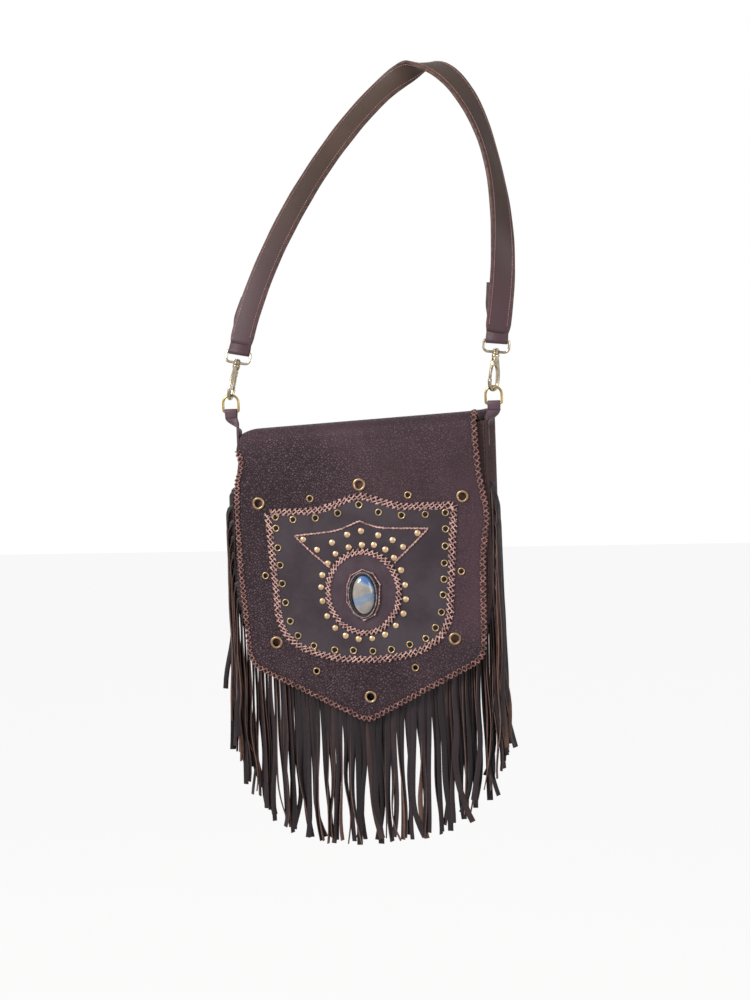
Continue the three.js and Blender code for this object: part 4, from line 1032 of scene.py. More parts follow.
def edge_lacing():
    """Lacing wrapped over the flap's border: crossed on the face and on the back, and dark dots of painted
    shade at its holes.
    """
    left = LEFT_EDGE[LEFT_EDGE[:, 1] > 12] * [-1, 1]
    right = np.vstack([RIGHT_EDGE[::-1], [(RIGHT_EDGE[0, 0], -4), (RIGHT_EDGE[0, 0], -12)]])
    path = Path(np.vstack([left, right]) + [0, FLAP_START])
    inset, beyond, jitter = 5.4, 0.9, 0.55
    cells = int(path.length // LACE_PITCH)
    pitch = path.length / cells
    stitches, holes = [], []

    def spot(distance, depth):
        return path.beside(np.clip(distance, 0, path.length), -depth)

    for k in range(cells):
        for face in (1, -1):
            for over, (a, b) in enumerate(((k + 0.04, k + 0.96), (k + 0.96, k + 0.04))):
                shake = rng.uniform(-jitter, jitter, 3)
                start = spot(a * pitch + shake[0], inset + shake[1])
                hole, out = flap_surface(*start, face * (1.3 + 0.5 * over))
                rim, _ = flap_surface(*spot(b * pitch + shake[2], -beyond), face * (0.35 + 0.3 * over))
                stitches.append((hole, rim, out * face))
                if over:
                    holes.append((flap_surface(*start, face * 1.02)[0], out * face))
    return stitches, holes


lacing, lacing_holes = edge_lacing()
attach(sew("flap_lacing", lacing, LACE_RADIUS, 0.8, EDGE_THREAD), "flap", "flap")
# Dark dots laid on the leather at each stitch hole: painted shade in the holes.
awl_hole = turned_piece("awl_hole", [(0.02, -0.3), (1.25, -0.3), (1.25, 0.02), (0.9, 0.08), (0.02, 0.08)], 8)
attach(set_pieces("lacing_holes", awl_hole, *zip(*lacing_holes), PAINTED_HOLE_SHADE), "flap", "flap")


def rim_lacing():
    """Thread round the stone: chords outside the rim, netting up to its crest, a pale inner line."""
    count, net = 10, 44
    t = 2 * math.pi * (np.arange(count) + rng.uniform(-0.2, 0.2, count)) / count + 0.3
    t = np.append(t, t[0] + 2 * math.pi)
    reach = rng.uniform(6.2, 8.4, count) - 1.6 * np.clip(np.sin(t[:-1]), 0, 1)
    reach = np.append(reach, reach[0])

    def spot(a, grow, lift):
        return on_flap(STONE_X + (STONE_A + grow) * math.cos(a), STONE_DROP + (STONE_B + grow) * math.sin(a),
                       STONE_SEAT + lift)

    chords, spokes, ring = [], [], []
    for k in range(count):
        a, b = spot(t[k], reach[k], 1.0), spot(t[k + 1], reach[k + 1], 1.6)
        past = (b - a) / np.linalg.norm(b - a) * rng.uniform(0.8, 2.2)
        chords.append((a - past, b + past, OUT))
    for a in round_angles(net):
        lean = rng.uniform(-0.05, 0.05)
        spokes.append((spot(a, 6.4, 1.4), spot(a + lean, 1.4, 3.7), OUT))
    steps = np.linspace(0, 2 * math.pi, 41)
    for a, b in zip(steps[:-1], steps[1:]):
        grow = 3.6 - 1.2 * math.cos(a)
        ring.append((spot(a - 0.03, grow - 0.3, 3.2), spot(b + 0.03, grow + 0.3, 3.2), OUT))
    return chords, spokes, ring


chords, spokes, rim_ring = rim_lacing()
attach(sew("stone_lacing", chords, 0.75, 0.15, THREAD), "flap", "patch")
attach(sew("stone_netting", spokes, 0.36, 0.3, DARK_THREAD), "flap", "patch")
attach(sew("stone_rim_thread", rim_ring, 0.62, 0.1, PALE_THREAD), "flap", "patch")


# Body: two panels and a gusset that is creased inwards along its middle.
GUSSET_MID, GUSSET_HALF, GUSSET_CREASE, CREASE_POWER = 0.9, 23.8, 6.5, 1.3
SEAM_PITCH, STITCH_START, STITCH_END = 4.4, 0.5, 3.9


def tucked(x, z):
    """The body's mouth hanging lower at the left and its left side drawn in."""
    near = smooth((z + 90) / 80)
    droop = top_droop(x) + 3.5 - 7.0 * smooth((x - 105) / 40)
    return x + 6.5 * near * smooth((-x - 95) / 50), z - droop * near


def panel_grid(top, way):
    z = np.concatenate([top - np.array([0, 0.6, 1.4]), np.linspace(top - 4, -STRAIGHT, 40),
                        -STRAIGHT - CORNER * np.sin(np.linspace(0, QUARTER, 40)[1:])])
    u = way * np.concatenate([[-1, -0.995, -0.985], np.linspace(-0.965, 0.965, 60), [0.985, 0.995, 1]])
    return tucked(u[None, :] * panel_half(z)[:, None], z[:, None] + 0 * u[None, :])


def gusset_fold(y):
    """How far in the gusset is creased, across its width."""
    return GUSSET_CREASE * np.clip(1 - np.abs((y - GUSSET_MID) / GUSSET_HALF), 0, 1) ** CREASE_POWER


def sheet(mid, out):
    """A sheet of the body's leather."""
    return leaf(mid, out, LEATHER / 2, LEATHER / 2, EDGE_ROUND)


def front_panel():
    x, z = panel_grid(-14.0, 1)
    swell = inside_share(x, z) * smooth((-z - 20) / 60) * (flap_relief(x, FLAP_START - z) + 1.7)
    mid = np.stack([x, FRONT_Y + LEATHER / 2 - swell, z], -1)
    return sheet(mid, facing(mid, -1.0))


def back_panel():
    x, z = panel_grid(-1.3, -1)
    mid = np.stack([x, BACK_Y - LEATHER / 2 + back_swell(x, z), z], -1)
    return sheet(mid, facing(mid, 1.0))


def seam_line(top, inset):
    """The body's border from the right top, round the bottom, to the left top."""
    t = np.linspace(0, QUARTER, 60)
    radius, half = CORNER - inset, HALF_WIDTH - CORNER
    round_off = np.stack([half + radius * np.cos(t), -STRAIGHT - radius * np.sin(t)], -1)
    right = np.vstack([[(half + radius, top)], round_off])
    return Path(np.vstack([right, (right * [-1, 1])[::-1]]))


def gusset():
    line = seam_line(-10.0, LEATHER / 2)
    end = np.array([0, 0.7, 1.6])
    d = np.concatenate([end, np.linspace(4, line.length - 4, 150), line.length - end[::-1]])
    at, ahead = line.at(d), line.ahead(d)
    way = np.stack([-ahead[:, 1], 0 * d, ahead[:, 0]], -1)
    y = np.concatenate([[-22.9, -22.2], np.linspace(-20.5, 22.3, 20), [24, 24.7]])
    height = np.clip((at[:, 1] + HEIGHT) / HEIGHT, 0, 1)
    ripple = 0.7 * np.sin(d / 17)[:, None] * (1 - ((y - GUSSET_MID) / GUSSET_HALF) ** 2)
    crease = smooth(height * 1.5)[:, None] * gusset_fold(y) + ripple * smooth(height * 2)[:, None]
    x, z = tucked(at[:, 0], at[:, 1])
    mid = np.stack([x[:, None] + 0 * y, y + 0 * d[:, None], z[:, None] + 0 * y], -1)
    out = np.broadcast_to(way[:, None, :], mid.shape)
    return sheet(mid - out * crease[..., None], out)


def bag_shell():
    front = front_panel()
    # The front panel's sides are marked as well, so that they take the darker border colour: painted shade
    # beside the flap.
    beside = np.maximum(front[3], smooth((np.abs(front[0][:, 0]) - 112) / 18))
    points, faces, flags, edge = joined((front[0], front[1], 2 - front[2], beside), gusset(), back_panel())
    return piece("bag_shell", points, faces, BODY_LEATHER, FLESH, FRONT_LEATHER, flags=flags,
                 marks={"edge": edge})


attach(bag_shell(), "bag", "body", "front_panel", "back_panel", "gusset")


def seam_stitches():
    """Running stitches inside the border of both panels, along the flap's hem and at the gusset's mouth."""
    stitches = []
    for y, way, top in ((FRONT_Y - 0.35, -1, -16.0), (BACK_Y + 0.35, 1, -6.0)):
        line = seam_line(top, 5.0)
        for k in range(int(line.length // SEAM_PITCH)):
            ends = []
            for p in (line.at(SEAM_PITCH * k + STITCH_START), line.at(SEAM_PITCH * k + STITCH_END)):
                (x, z), swell = tucked(*p), float(back_swell(*p)) if way > 0 else 0.0
                ends.append((x, y + swell, z))
            stitches.append((*ends, (0, way, 0)))
    for x in np.arange(-129.0, 122.0, SEAM_PITCH):
        (a, away), (b, _) = (flap_surface(x + end, -9.8, LEATHER / 2 + 0.3)
                             for end in (STITCH_START, STITCH_END))
        stitches.append((a, b, away))
    for side in (1, -1):
        for z in (-14.0, -21.0):
            x, low = tucked(side * (HALF_WIDTH + 0.2), z)
            for k in range(11):
                y = -21.5 + 4.1 * k
                ends = [(x - side * gusset_fold(p), p, low) for p in (y + 0.4, y + 3.5)]
                stitches.append((*ends, (side, 0, 0)))
    return stitches


attach(sew("seam_stitches", seam_stitches(), 0.42, 0.3, DARK_THREAD), "bag", "body")

# Fringe: strips that leave the front seam, turn over and hang.
FRINGE_TOP, FRINGE_LENGTH, STRIPS_IN_ALL, STRIP_WIDTH, STRIP_THICK = -75.0, 190.0, 142, 5.9, 1.5
SIDE_RUN, CORNER_RUN, BOTTOM_RUN = STRAIGHT + FRINGE_TOP, math.pi * CORNER / 2, 2 * (HALF_WIDTH - CORNER)
SEAM_RUN = 2 * (SIDE_RUN + CORNER_RUN) + BOTTOM_RUN
SEAM_Y, KNEE_DROP, BEND_STEPS, STRAY, FULL_TURN = -24.0, 13, 6, 3, 6.28


def seam_point(along):
    """A strip's root on the front seam, the way out there, and its side of the bag."""
    side = -1 if along < SEAM_RUN / 2 else 1
    s = min(along, SEAM_RUN - along)
    angle = min(max((s - SIDE_RUN) / CORNER, 0), QUARTER)
    x = HALF_WIDTH - CORNER * (1 - math.cos(angle)) - max(0, s - SIDE_RUN - CORNER_RUN)
    z = FRINGE_TOP - min(s, SIDE_RUN) - CORNER * math.sin(angle)
    return np.array([side * x, SEAM_Y, z]), np.array([side * math.cos(angle), 0, -math.sin(angle)]), side


def strip_line(rank):
    """The middle line of one strip from its root, and the way its smooth face looks there."""
    at, out, side = seam_point((rank + 0.5) * SEAM_RUN / STRIPS_IN_ALL)
    turned = abs(out[0])
    from_end = min(rank, STRIPS_IN_ALL - 1 - rank)
    heap = max(0, STRIPS_IN_ALL * (SIDE_RUN + 0.45 * CORNER_RUN) / SEAM_RUN - from_end) * 0.17
    heap *= (1 - 0.8 * math.exp(-from_end / 3.0)) * (2.0 if side < 0 else 1.0)
    stand = turned * (1.4 + heap + rng.uniform(-0.6, 0.9))
    depth = ((from_end % 4) * 5.6 + rng.uniform(-1, 1)) * turned ** 2 + rng.uniform(-1.4, 1.4) * (1 - turned)
    knee = np.array([at[0] + side * stand, SEAM_Y + depth, at[2] - KNEE_DROP - stand / 2])
    sway, push = rng.normal(0, 3.2), rng.normal(0, 3.0)
    stray = from_end == STRAY and side < 0
    if stray:
        sway = -12.0
    longer = 75.0 * max(0.0, 1 - from_end * SEAM_RUN / STRIPS_IN_ALL / SIDE_RUN) ** 0.7
    if side < 0:
        longer -= 50.0 * math.exp(-from_end / 4.5) + 12.0 * stray
    fall = FRINGE_LENGTH + longer - KNEE_DROP - 1.5 * stand + rng.uniform(-4.5, 4.5)
    fall += 9.0 * math.exp(-((at[0] + 25) / 60) ** 2) + (10.0 if side < 0 else 0.0) * turned
    curl, phase, waves = rng.uniform(0.8, 3.0), rng.uniform(0, FULL_TURN), rng.uniform(0.9, 2.2)
    kink = rng.normal(0, 7.5) if rng.random() < 0.4 else rng.normal(0, 2.0)
    turn0 = side * turned * 1.25
    turn1 = turn0 * rng.uniform(0.1, 1.0) + rng.normal(0, 0.7)
    if rng.random() < 0.16:
        turn1 += rng.choice([-1.5, 1.5])
    if stray:
        turn1, kink = 0.0, -4.0
    lead = [at - 3.0 * out, at + 0.2 * out]
    arch = at + (1.2 + 0.7 * stand) * out - [0, 0, 1.5 * turned]
    bend = bezier([at + 1.2 * out, arch, knee + [0, 0, 8], knee], BEND_STEPS)
    t = np.linspace(0, 1, 19)[1:]
    wave = curl * np.sin(phase + FULL_TURN * waves * t) * t
    hang = np.stack([knee[0] + sway * t ** 1.4 + wave + kink * np.clip((t - 0.72) / 0.28, 0, 1) ** 2,
                     knee[1] + push * t ** 1.5 + 0.8 * curl * np.cos(phase + 5.0 * waves * t) * t,
                     knee[2] - fall * t + 0.12 * abs(kink) * t ** 6], -1)
    points = np.vstack([lead, bend, hang])
    turn = np.concatenate([np.zeros(len(lead)), turn0 * smooth(np.linspace(0, 1, BEND_STEPS)),
                           turn0 + (turn1 - turn0) * smooth(t)])
    face = np.stack([np.sin(turn), -np.cos(turn), 0 * turn], -1)
    ahead = np.gradient(points, axis=0)
    ahead /= np.linalg.norm(ahead, axis=1, keepdims=True)
    face -= ahead * (face * ahead).sum(1, keepdims=True)
    face /= np.linalg.norm(face, axis=1, keepdims=True)
    return points, face


def fringe():
    strips, edges, count = [], [], 0
    for rank in range(STRIPS_IN_ALL):
        line, face = strip_line(rank)
        tone, wide = rng.uniform(0, 1), rng.uniform(0.82, 1.2)
        strips.append((line, face, np.full(len(line), tone), np.full(len(line), wide)))
        edges += [(count + k, count + k + 1) for k in range(len(line) - 1)]
        count += len(line)
    points, *marks = (np.concatenate(part) for part in zip(*strips))
    mesh = bag_mesh("fringe_strips", points, edges, [], dict(zip(("face", "tone", "wide"), marks)))
    return grown(linked("fringe_strips", mesh), HANGING,
                 {"Width": STRIP_WIDTH * MM, "Thickness": STRIP_THICK * MM, "Material": STRIPS})


attach(fringe(), "bag", "fringe", "fringe_left", "fringe_right", "fringe_bottom")


# Hardware: strap ends, each with a loop, a snap hook, its gate and a ring in a leather tab.
def two_ply(width, thick, across=5):
    """Cross-section of two plies laid together: across and through, with a groove along each edge."""
    r = thick / 4
    half = width / 2 - r
    right = [(half + r * math.cos(a), r + r * math.sin(a)) for a in np.radians([90, 50, 10, -40])]
    right += [(p, -q) for p, q in right[::-1]]
    flat = [(p, 2 * r) for p in np.linspace(-half, half, across + 2)[1:-1]]
    return np.array(flat + right + [(-p, -q) for p, q in flat] + [(-p, -q) for p, q in right])


BAR_RISE = 51.8


def end_frame(side):
    """The axes of a strap end, its loop's upper bar, and the way up along the strap."""
    along = Vector((0.11, 0, 1) if side > 0 else (0.2, 0.2, 1)).normalized()
    wide = Vector((1, 0, 0))
    wide = (wide - along * wide.dot(along)).normalized()
    out = along.cross(wide)
    bar = Vector((side * RING_X, RING_Y, RING_Z + RING_STRAIGHT + RING_RADIUS)) + along * BAR_RISE
    return Matrix((wide, out, along)).transposed().to_4x4(), bar, along


def placed(points, matrix, origin):
    turn = np.array(matrix.to_3x3())
    return np.asarray(points, float) @ turn.T + np.array(origin)


def arc(cx, cz, radius, start, end, steps):
    t = np.linspace(start, end, steps)
    return np.stack([cx + radius * np.cos(t), cz + radius * np.sin(t)], -1)


def wire(path, radius, sides=14):
    """A closed round wire along a flat path in X and Z."""
    ahead = np.roll(path, -1, axis=0) - np.roll(path, 1, axis=0)
    ahead /= np.linalg.norm(ahead, axis=1, keepdims=True)
    t = round_angles(sides)
    rings = [[(p[0] - radius * math.cos(a) * q[1], radius * math.sin(a), p[1] + radius * math.cos(a) * q[0])
              for a in t] for p, q in zip(path, ahead)]
    return loft(rings, closed=True)


LOOP_HALF, LOOP_HEIGHT, LOOP_WIRE, LOOP_LOW, LOOP_TOP = 14.5, 13.0, 3.0, 5, 2


def loop_parts():
    """The loop's wire, and the boss that the hook turns in."""
    side, low, top = LOOP_HALF, LOOP_LOW, LOOP_TOP
    path = np.vstack([arc(side - low, low - LOOP_HEIGHT, low, -QUARTER, 0, 8),
                      arc(side - top, -top, top, 0, QUARTER, 6),
                      arc(top - side, -top, top, QUARTER, math.pi, 6),
                      arc(low - side, low - LOOP_HEIGHT, low, math.pi, 3 * QUARTER, 8)])
    boss = lathe([(2.2, -15.5), (3.7, -15.5), (4.2, -15.0), (4.2, -14.2), (3.8, -13.9), (3.8, -12.1),
                  (4.2, -11.8), (4.2, -11.0), (3.7, -10.5), (2.2, -10.5)], closed=True)
    return joined(wire(path, LOOP_WIRE / 2), boss)


def bent_sheet(outlines, thickness, bevel):
    """A flat shape with holes, cut from sheet and rounded at its edges, standing in X and Z."""
    curve = bpy.data.curves.new("outline", "CURVE")
    curve.dimensions = "2D"
    curve.fill_mode = "BOTH"
    curve.extrude = thickness / 2 - bevel
    curve.bevel_depth = bevel
    curve.bevel_resolution = 3
    curve.offset = -bevel
    for outline in outlines:
        spline = curve.splines.new("POLY")
        spline.points.add(len(outline) - 1)
        spline.points.foreach_set("co", np.c_[outline, np.zeros(len(outline)), np.ones(len(outline))].ravel())
        spline.use_cyclic_u = True
    obj = linked("outline", curve)
    mesh = bpy.data.meshes.new_from_object(obj.evaluated_get(bpy.context.evaluated_depsgraph_get()))
    points = np.array([v.co for v in mesh.vertices])
    faces = [list(p.vertices) for p in mesh.polygons]
    bpy.data.meshes.remove(mesh)
    forget(obj)
    return np.c_[points[:, 0], -points[:, 2], points[:, 1]], faces


def chain(*curves):
    return np.vstack([bezier(c, 14)[:-1] for c in curves])


HOOK_TOP, HOOK_LOW, HOOK_WIDEST, HOOK_HALF, HOOK_PLATE = -17.8, -57.8, -43.8, 9.0, 4.4
EYE_TOP, EYE_LOW, EYE_HALF = -28.5, -53.8, 5.0
PIVOT = (-4.0, -24.0)
PIN = [(0.78, -2.5), (1.3, -2.25), (1.3, 2.25), (0.78, 2.5)]
POST = [(0.05, -21.5), (3.4, -21.5), (4.3, -18.6), (4.5, -17.4), (4.5, -16.3), (4.1, -15.8), (1.9, -15.8),
        (1.9, -10.2), (3.2, -10.2), (3.1, -9.4), (2.4, -8.8), (0.05, -8.4)]


def hook_outline():
    """The outline of the hook's plate, and of the eye in it."""
    top, low, wide, half = HOOK_TOP, HOOK_LOW, HOOK_WIDEST, HOOK_HALF
    body = chain([(-4, top), (-6.5, top - 8), (-half, wide + 8), (-half, wide)],
                 [(-half, wide), (-half, low + 5), (-5, low), (0, low)],
                 [(0, low), (5, low), (half, low + 5), (half, wide)],
                 [(half, wide), (half, wide + 8), (6.5, top - 8), (4, top)], [(4, top), (-4, top)])
    top, low, wide, half = EYE_TOP, EYE_LOW, EYE_LOW + 6, EYE_HALF
    hole = chain([(0, top), (3.6, top - 1), (half, wide + 10), (half, wide)],
                 [(half, wide), (half, wide - 4), (3.2, low), (0, low)],
                 [(0, low), (-3.2, low), (-half, wide - 4), (-half, wide)],
                 [(-half, wide), (-half, wide + 10), (-3.6, top - 1), (0, top)])
    return body, hole


def block(low, high):
    x, y, z = zip(low, high)
    points = [(x[i], y[j], z[k]) for i in (0, 1) for j in (0, 1) for k in (0, 1)]
    return points, [(0, 1, 3, 2), (4, 6, 7, 5), (0, 4, 5, 1), (2, 3, 7, 6), (0, 2, 6, 4), (1, 5, 7, 3)]


def hook(name, matrix, bar):
    """The hook's plate with its mouth cut open, and its post and pin."""
    def part(label, shape, *materials):
        return outward(piece(label, placed(shape[0], matrix, bar), shape[1], *materials))

    plate = part(name, bent_sheet(hook_outline(), HOOK_PLATE, 1.5), STEEL)
    drilled(plate, [part(name + "_cut", block((-18, -1.5, HOOK_WIDEST), (1.4, 1.5, -20.55))),
                    part(name + "_mouth", block((-18, -4.5, HOOK_WIDEST), (0, 4.5, EYE_TOP)))])
    rest = part(name + "_rest", joined(lathe(POST), spindle(*PIVOT, PIN, 16)), STEEL)
    mesh = bmesh.new()
    mesh.from_mesh(plate.data)
    mesh.from_mesh(rest.data)
    mesh.to_mesh(plate.data)
    mesh.free()
    forget(rest)
    plate.data.polygons.foreach_set("use_smooth", [True] * len(plate.data.polygons))
    return plate


def gate(name, matrix, bar):
    outline = np.vstack([arc(*PIVOT, 2.4, 0, math.pi, 14),
                         [(-8.3, -35.5), (-8.6, -42.7), (-8.2, -43.3), (-5.9, -43.5), (-5.4, -42.6),
                          (-5.0, -35.5)]])
    bore = arc(*PIVOT, 1.4, 0, 2 * math.pi, 17)[:-1]
    points, faces = bent_sheet([outline, bore], 2.4, 0.5)
    return outward(piece(name, placed(points, matrix, bar), faces, STEEL))


RING_WIRE, RING_CORNER = 1.4, 2


def ring(name, side):
    path = np.vstack([arc(RING_RADIUS - RING_CORNER, RING_CORNER, RING_CORNER, -QUARTER, 0, 6),
                      arc(0, RING_STRAIGHT, RING_RADIUS, 0, math.pi, 26),
                      arc(RING_CORNER - RING_RADIUS, RING_CORNER, RING_CORNER, math.pi, 3 * QUARTER, 6)])
    points, faces = wire(path, RING_WIRE)
    return outward(piece(name, points + [side * RING_X, RING_Y, RING_Z], faces, BRASS))


TAB_WIDTH, TAB_PLY, TAB_SEAT, TAB_TAIL = 14.5, 1.6, 146.1, 24


def tab(name, side):
    """A strip folded round the ring's bar, its two plies twisted flat on to the gusset."""
    neck, start = RING_Z - 7, -10.0
    flat = two_ply(TAB_WIDTH, 2 * TAB_PLY)
    rings = []
    for z in np.concatenate([[start - TAB_TAIL, start - 23.4], np.linspace(start - 22, neck + 1, 26)]):
        share = float(smooth((z - start) / (neck - start)))
        turn = QUARTER - side * QUARTER * share
        x = side * (TAB_SEAT + (RING_X - TAB_SEAT) * share)
        scale = 0.94 if z < start - 23.7 else 1.0
        rings.append([(x + scale * w * math.cos(turn) - q * math.sin(turn),
                       RING_Y + scale * w * math.sin(turn) + q * math.cos(turn), z) for w, q in flat])
    bend = np.vstack([[(TAB_PLY / 2, neck - 1), (TAB_PLY / 2 + 0.4, neck + 2), (2.3, RING_Z - 1.6)],
                      arc(0, RING_Z, 2.5, -0.2, math.pi + 0.2, 16),
                      [(-2.3, RING_Z - 1.6), (-TAB_PLY / 2 - 0.4, neck + 2), (-TAB_PLY / 2, neck - 1)]])
    head = fold_round(bend, TAB_WIDTH, TAB_PLY)
    points, faces = joined(loft(rings), (head[0] + [side * RING_X, RING_Y, 0], head[1]))
    return outward(piece(name, points, faces, TAB_LEATHER))


def fold_round(bend, width, ply):
    """One ply of leather along a bent line in Y and Z, wide along X."""
    ahead = np.gradient(bend, axis=0)
    ahead /= np.linalg.norm(ahead, axis=1, keepdims=True)
    half, r = width / 2 - 0.5, ply / 2
    section = [(half, r), (half + 0.4, 0.5 * r), (half + 0.5, 0), (half + 0.4, -0.5 * r), (half, -r)]
    section += [(-w, -q) for w, q in section]
    return loft([[(w, p[0] - q * t[1], p[1] + q * t[0]) for w, q in section] for p, t in zip(bend, ahead)])


HOOK_TURN = {"right": math.radians(60), "left": math.radians(-90)}
for label, side in (("right", 1), ("left", -1)):
    basis, bar, along = end_frame(side)
    loop_points, loop_faces = loop_parts()
    loop = outward(piece(f"{label}_loop_metal", placed(loop_points, basis, bar), loop_faces, STEEL))
    attach(loop, "strap", "hardware", f"{label}_loop")
    turned = basis @ Matrix.Rotation(HOOK_TURN[label], 4, "Z")
    attach(hook(f"{label}_hook_metal", turned, bar), f"{label}_hook", "hardware", f"{label}_hook")
    attach(gate(f"{label}_gate_metal", turned, bar), f"{label}_gate", "hardware", f"{label}_gate")
    attach(ring(f"{label}_ring_metal", side), f"{label}_ring", "hardware", f"{label}_ring")
    attach(tab(f"{label}_tab_leather", side), "bag", "body", f"{label}_tab")

# Strap: two plies from loop to loop over the shoulder, turned back at both ends.
STRAP_WIDTH, STRAP_END, STRAP_TAPER, STRAP_THICK, FOLD_RISE = 28.0, 25.0, 7.0, 4.0, 9.0
STRAP_TURN = math.radians(58)
CREST = np.array([67.0, 90.0, 412.0])


def strap_line():
    """The strap's middle line from the right loop over the crest to the left, and its length in front."""
    (_, right, up_right), (_, left, up_left) = end_frame(1), end_frame(-1)
    right, left, up_right, up_left = (np.array(v) for v in (right, left, up_right, up_left))
    rise = CREST[2] - right[2]
    over = np.array([-1.13, 0.78, 0]) / math.hypot(1.13, 0.78)
    bow = right + 0.62 * rise * up_right + [0.056 * rise, -0.096 * rise, 0]
    front = bezier([right + FOLD_RISE * up_right, bow, CREST - 0.18 * rise * over, CREST], 160)
    back = bezier([CREST, CREST + 0.24 * rise * over, left + 0.5 * rise * up_left,
                   left + FOLD_RISE * up_left], 160)
    return Path(np.vstack([front, back[1:]])), Path(front).length


STRAP_LINE, FRONT_RUN = strap_line()


def strap_frame(d):
    """The middle of the strap, the way across it and the way out of its face."""
    at, ahead = STRAP_LINE.at(d), STRAP_LINE.ahead(d, 4.0)
    flat = np.array([1.0, 0, 0]) - ahead * ahead[..., :1]
    flat = flat / np.linalg.norm(flat, axis=-1, keepdims=True)
    out = np.cross(ahead, flat)
    turn = (STRAP_TURN * np.sin(math.pi * np.minimum(d / FRONT_RUN, 1)) ** 2)[..., None]
    return at, flat * np.cos(turn) + out * np.sin(turn), out * np.cos(turn) - flat * np.sin(turn)


def strap_width(d):
    inner = np.minimum(d, STRAP_LINE.length - d) / STRAP_TAPER
    return STRAP_END + (STRAP_WIDTH - STRAP_END) * np.clip(inner, 0, 1)


def strap_camber(across):
    """The plies are padded a little along the middle."""
    return 0.9 * np.clip(1 - (2 * across / STRAP_WIDTH) ** 2, 0, 1)


def strap():
    d = np.linspace(0, STRAP_LINE.length, 170)
    at, wide, out = strap_frame(d)
    ripple = strap_width(d) / STRAP_WIDTH * (1 + 0.012 * np.sin(d / 19) + 0.008 * np.sin(d / 7.3))
    section = two_ply(STRAP_WIDTH, STRAP_THICK, across=9)
    section[:, 1] += np.sign(section[:, 1]) * strap_camber(section[:, 0])
    rings = [p + g * section[:, :1] * w + section[:, 1:] * o for p, w, o, g in zip(at, wide, out, ripple)]
    parts = [loft(rings)]
    for side in (1, -1):
        basis, bar, _ = end_frame(side)
        bend = np.vstack([[(1.0, FOLD_RISE + 6), (1.2, FOLD_RISE), (2.2, 4), (2.75, 1)],
                          arc(0, 0, 2.8, 0, -math.pi, 16),
                          [(-2.75, 1), (-2.2, 4), (-1.2, FOLD_RISE), (-1.0, FOLD_RISE + 6)]])
        fold = fold_round(bend, STRAP_END, STRAP_THICK / 2)
        parts += [(placed(fold[0], basis, bar), fold[1]), turned_back(side)]
    points, faces = joined(*parts)
    edge = np.zeros(len(points))
    edge[:len(rings) * len(section)] = np.tile(smooth((np.abs(section[:, 0]) - 12.0) / 1.7), len(rings))
    return piece("strap_leather", points, faces, STRAP_LEATHER, marks={"edge": edge})


def turned_back(side):
    """The end of the strap turned back behind it and standing off a little at its cut edge."""
    d = np.linspace(3, 56, 14)
    at, wide, out = strap_frame(d if side > 0 else STRAP_LINE.length - d)
    away = STRAP_THICK / 2 + 1.4 + 2.0 * smooth((d - 30) / 26)
    half, r = STRAP_END / 2 - 0.5, 0.7
    section = np.array([(half, r), (half + 0.5, 0), (half, -r), (-half, -r), (-half - 0.5, 0), (-half, r)])
    behind = np.where((out @ [0, 1, 0]) > 0, 1.0, -1.0)
    middle = at + (behind * away)[:, None] * out - 5.0 * smooth((d - 4) / 30)[:, None] * wide
    return loft([m + section[:, :1] * w + section[:, 1:] * o for m, w, o in zip(middle, wide, out)])


attach(outward(strap()), "strap", "strap", "strap")


STRAP_PITCH, STRAP_STITCH, STITCH_ACROSS, STITCH_FIRST = 3.0, 1.8, 10.2, 9


def strap_stitches():
    """Topstitching along both edges of both faces."""
    stitches = []
    for k in range(int((STRAP_LINE.length - 16) // STRAP_PITCH)):
        d = STITCH_FIRST + STRAP_PITCH * k
        at, wide, out = strap_frame(np.array([d, d + STRAP_STITCH]))
        for across in (-STITCH_ACROSS, STITCH_ACROSS):
            for face in (1, -1):
                a, b = at + across * wide + face * (STRAP_THICK / 2 + strap_camber(across) + 0.08) * out
                stitches.append((a, b, face * out[0]))
    return stitches


attach(sew("strap_topstitch", strap_stitches(), 0.36, 0.25, STRAP_THREAD), "strap", "strap")


# Floor, light and camera, in metres.
FLOOR_REACH, FLOOR_LEVEL = 9.0, -1.45
LIT_POINT = (-0.07, -0.12, -0.52)
LENS, SENSOR = 69.2, 36.0
CAMERA_PLACE = Vector((0.491418, -2.168981, 0.061056))
CAMERA_RIGHT = Vector((0.97618251, 0.21375856, -0.03708074))
CAMERA_UP = Vector((0.02120255, 0.07610124, 0.99687464))
WHITE = (1.0, 1.0, 1.0, 1.0)


def seen_directly(tree):
    """1 for rays from the camera and for those that metal and stone send on."""
    path = put(tree, "ShaderNodeLightPath").outputs
    mirrored = maths(tree, "MAXIMUM", path["Is Glossy Ray"], path["Is Transmission Ray"])
    return maths(tree, "MAXIMUM", path["Is Camera Ray"], mirrored)


def mixed(tree, share, a, b):
    return put(tree, "ShaderNodeMixShader", {0: share, 1: a.outputs[0], 2: b.outputs[0]}).outputs[0]


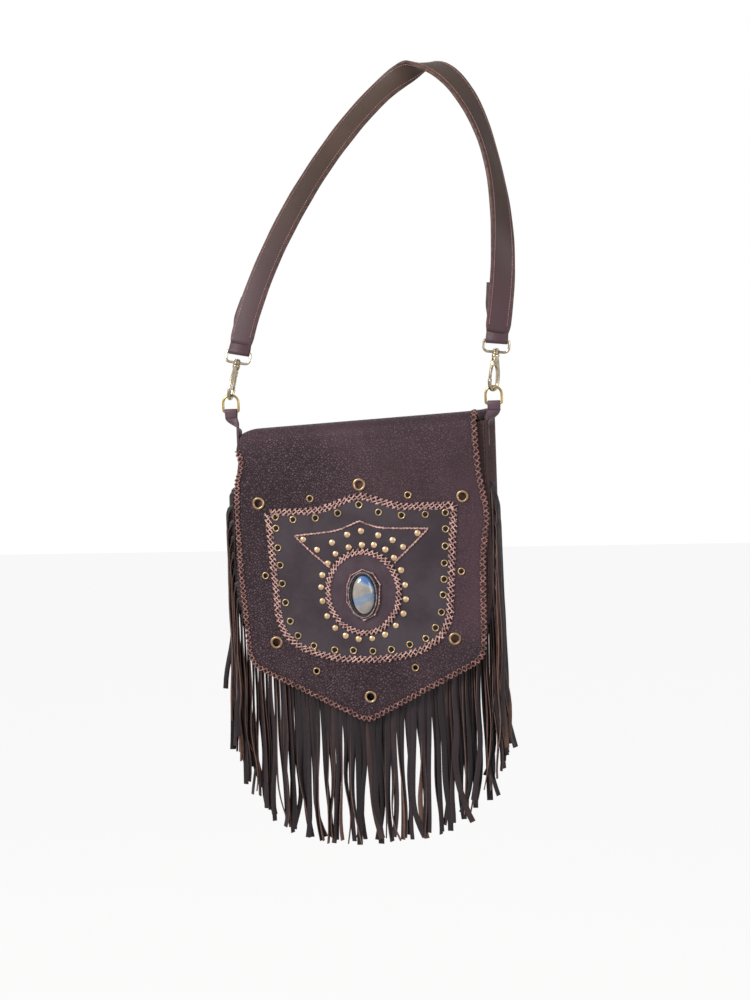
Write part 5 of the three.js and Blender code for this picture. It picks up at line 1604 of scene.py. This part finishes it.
def stage():
    mesh = bpy.data.meshes.new("floor")
    corners = [(x * FLOOR_REACH, y * FLOOR_REACH, FLOOR_LEVEL)
               for x, y in ((-1, -1), (1, -1), (1, 1), (-1, 1))]
    mesh.from_pydata(corners, [], [(0, 1, 2, 3)])
    floor = linked("floor", mesh)
    material = bpy.data.materials.new("pale floor")
    material.use_nodes = True
    tree = material.node_tree
    shader = tree.nodes["Principled BSDF"]
    feed(tree, shader, {"Base Color": srgb((244, 243, 241)), "Roughness": 0.9})
    glow = put(tree, "ShaderNodeEmission", {"Color": WHITE, "Strength": 1.0})
    surface = mixed(tree, times(tree, seen_directly(tree), 0.9), shader, glow)
    tree.links.new(surface, tree.nodes["Material Output"].inputs[0])
    mesh.materials.append(material)


def world():
    studio = bpy.data.worlds.new("studio")
    bpy.context.scene.world = studio
    studio.use_nodes = True
    tree = studio.node_tree
    tree.nodes.clear()
    light = put(tree, "ShaderNodeBackground", {"Color": (1.0, 0.99, 0.98, 1.0), "Strength": 0.36})
    pale = put(tree, "ShaderNodeBackground", {"Color": WHITE, "Strength": 1.0})
    put(tree, "ShaderNodeOutputWorld", {0: mixed(tree, seen_directly(tree), light, pale)})


def lamp(name, place, size, power, colour):
    data = bpy.data.lights.new(name, "AREA")
    data.shape, data.size, data.energy, data.color = "DISK", size, power, colour
    obj = linked(name, data)
    obj.location = place
    obj.rotation_euler = (Vector(LIT_POINT) - Vector(place)).to_track_quat("-Z", "Y").to_euler()


def camera():
    data = bpy.data.cameras.new("camera")
    data.lens, data.sensor_width = LENS, SENSOR
    obj = linked("camera", data)
    turn = Matrix((CAMERA_RIGHT, CAMERA_UP, CAMERA_RIGHT.cross(CAMERA_UP))).transposed().to_4x4()
    obj.matrix_world = Matrix.Translation(Vector(BAG_TOP * MM) + CAMERA_PLACE) @ turn
    bpy.context.scene.camera = obj


stage()
world()
lamp("key", (-1.75, -1.75, 0.75), 1.0, 78.0, (1.0, 0.985, 0.96))
lamp("fill", (2.0, -1.6, 0.0), 1.6, 27.0, (0.96, 0.98, 1.0))
camera()
bpy.context.scene.view_settings.view_transform = "Standard"
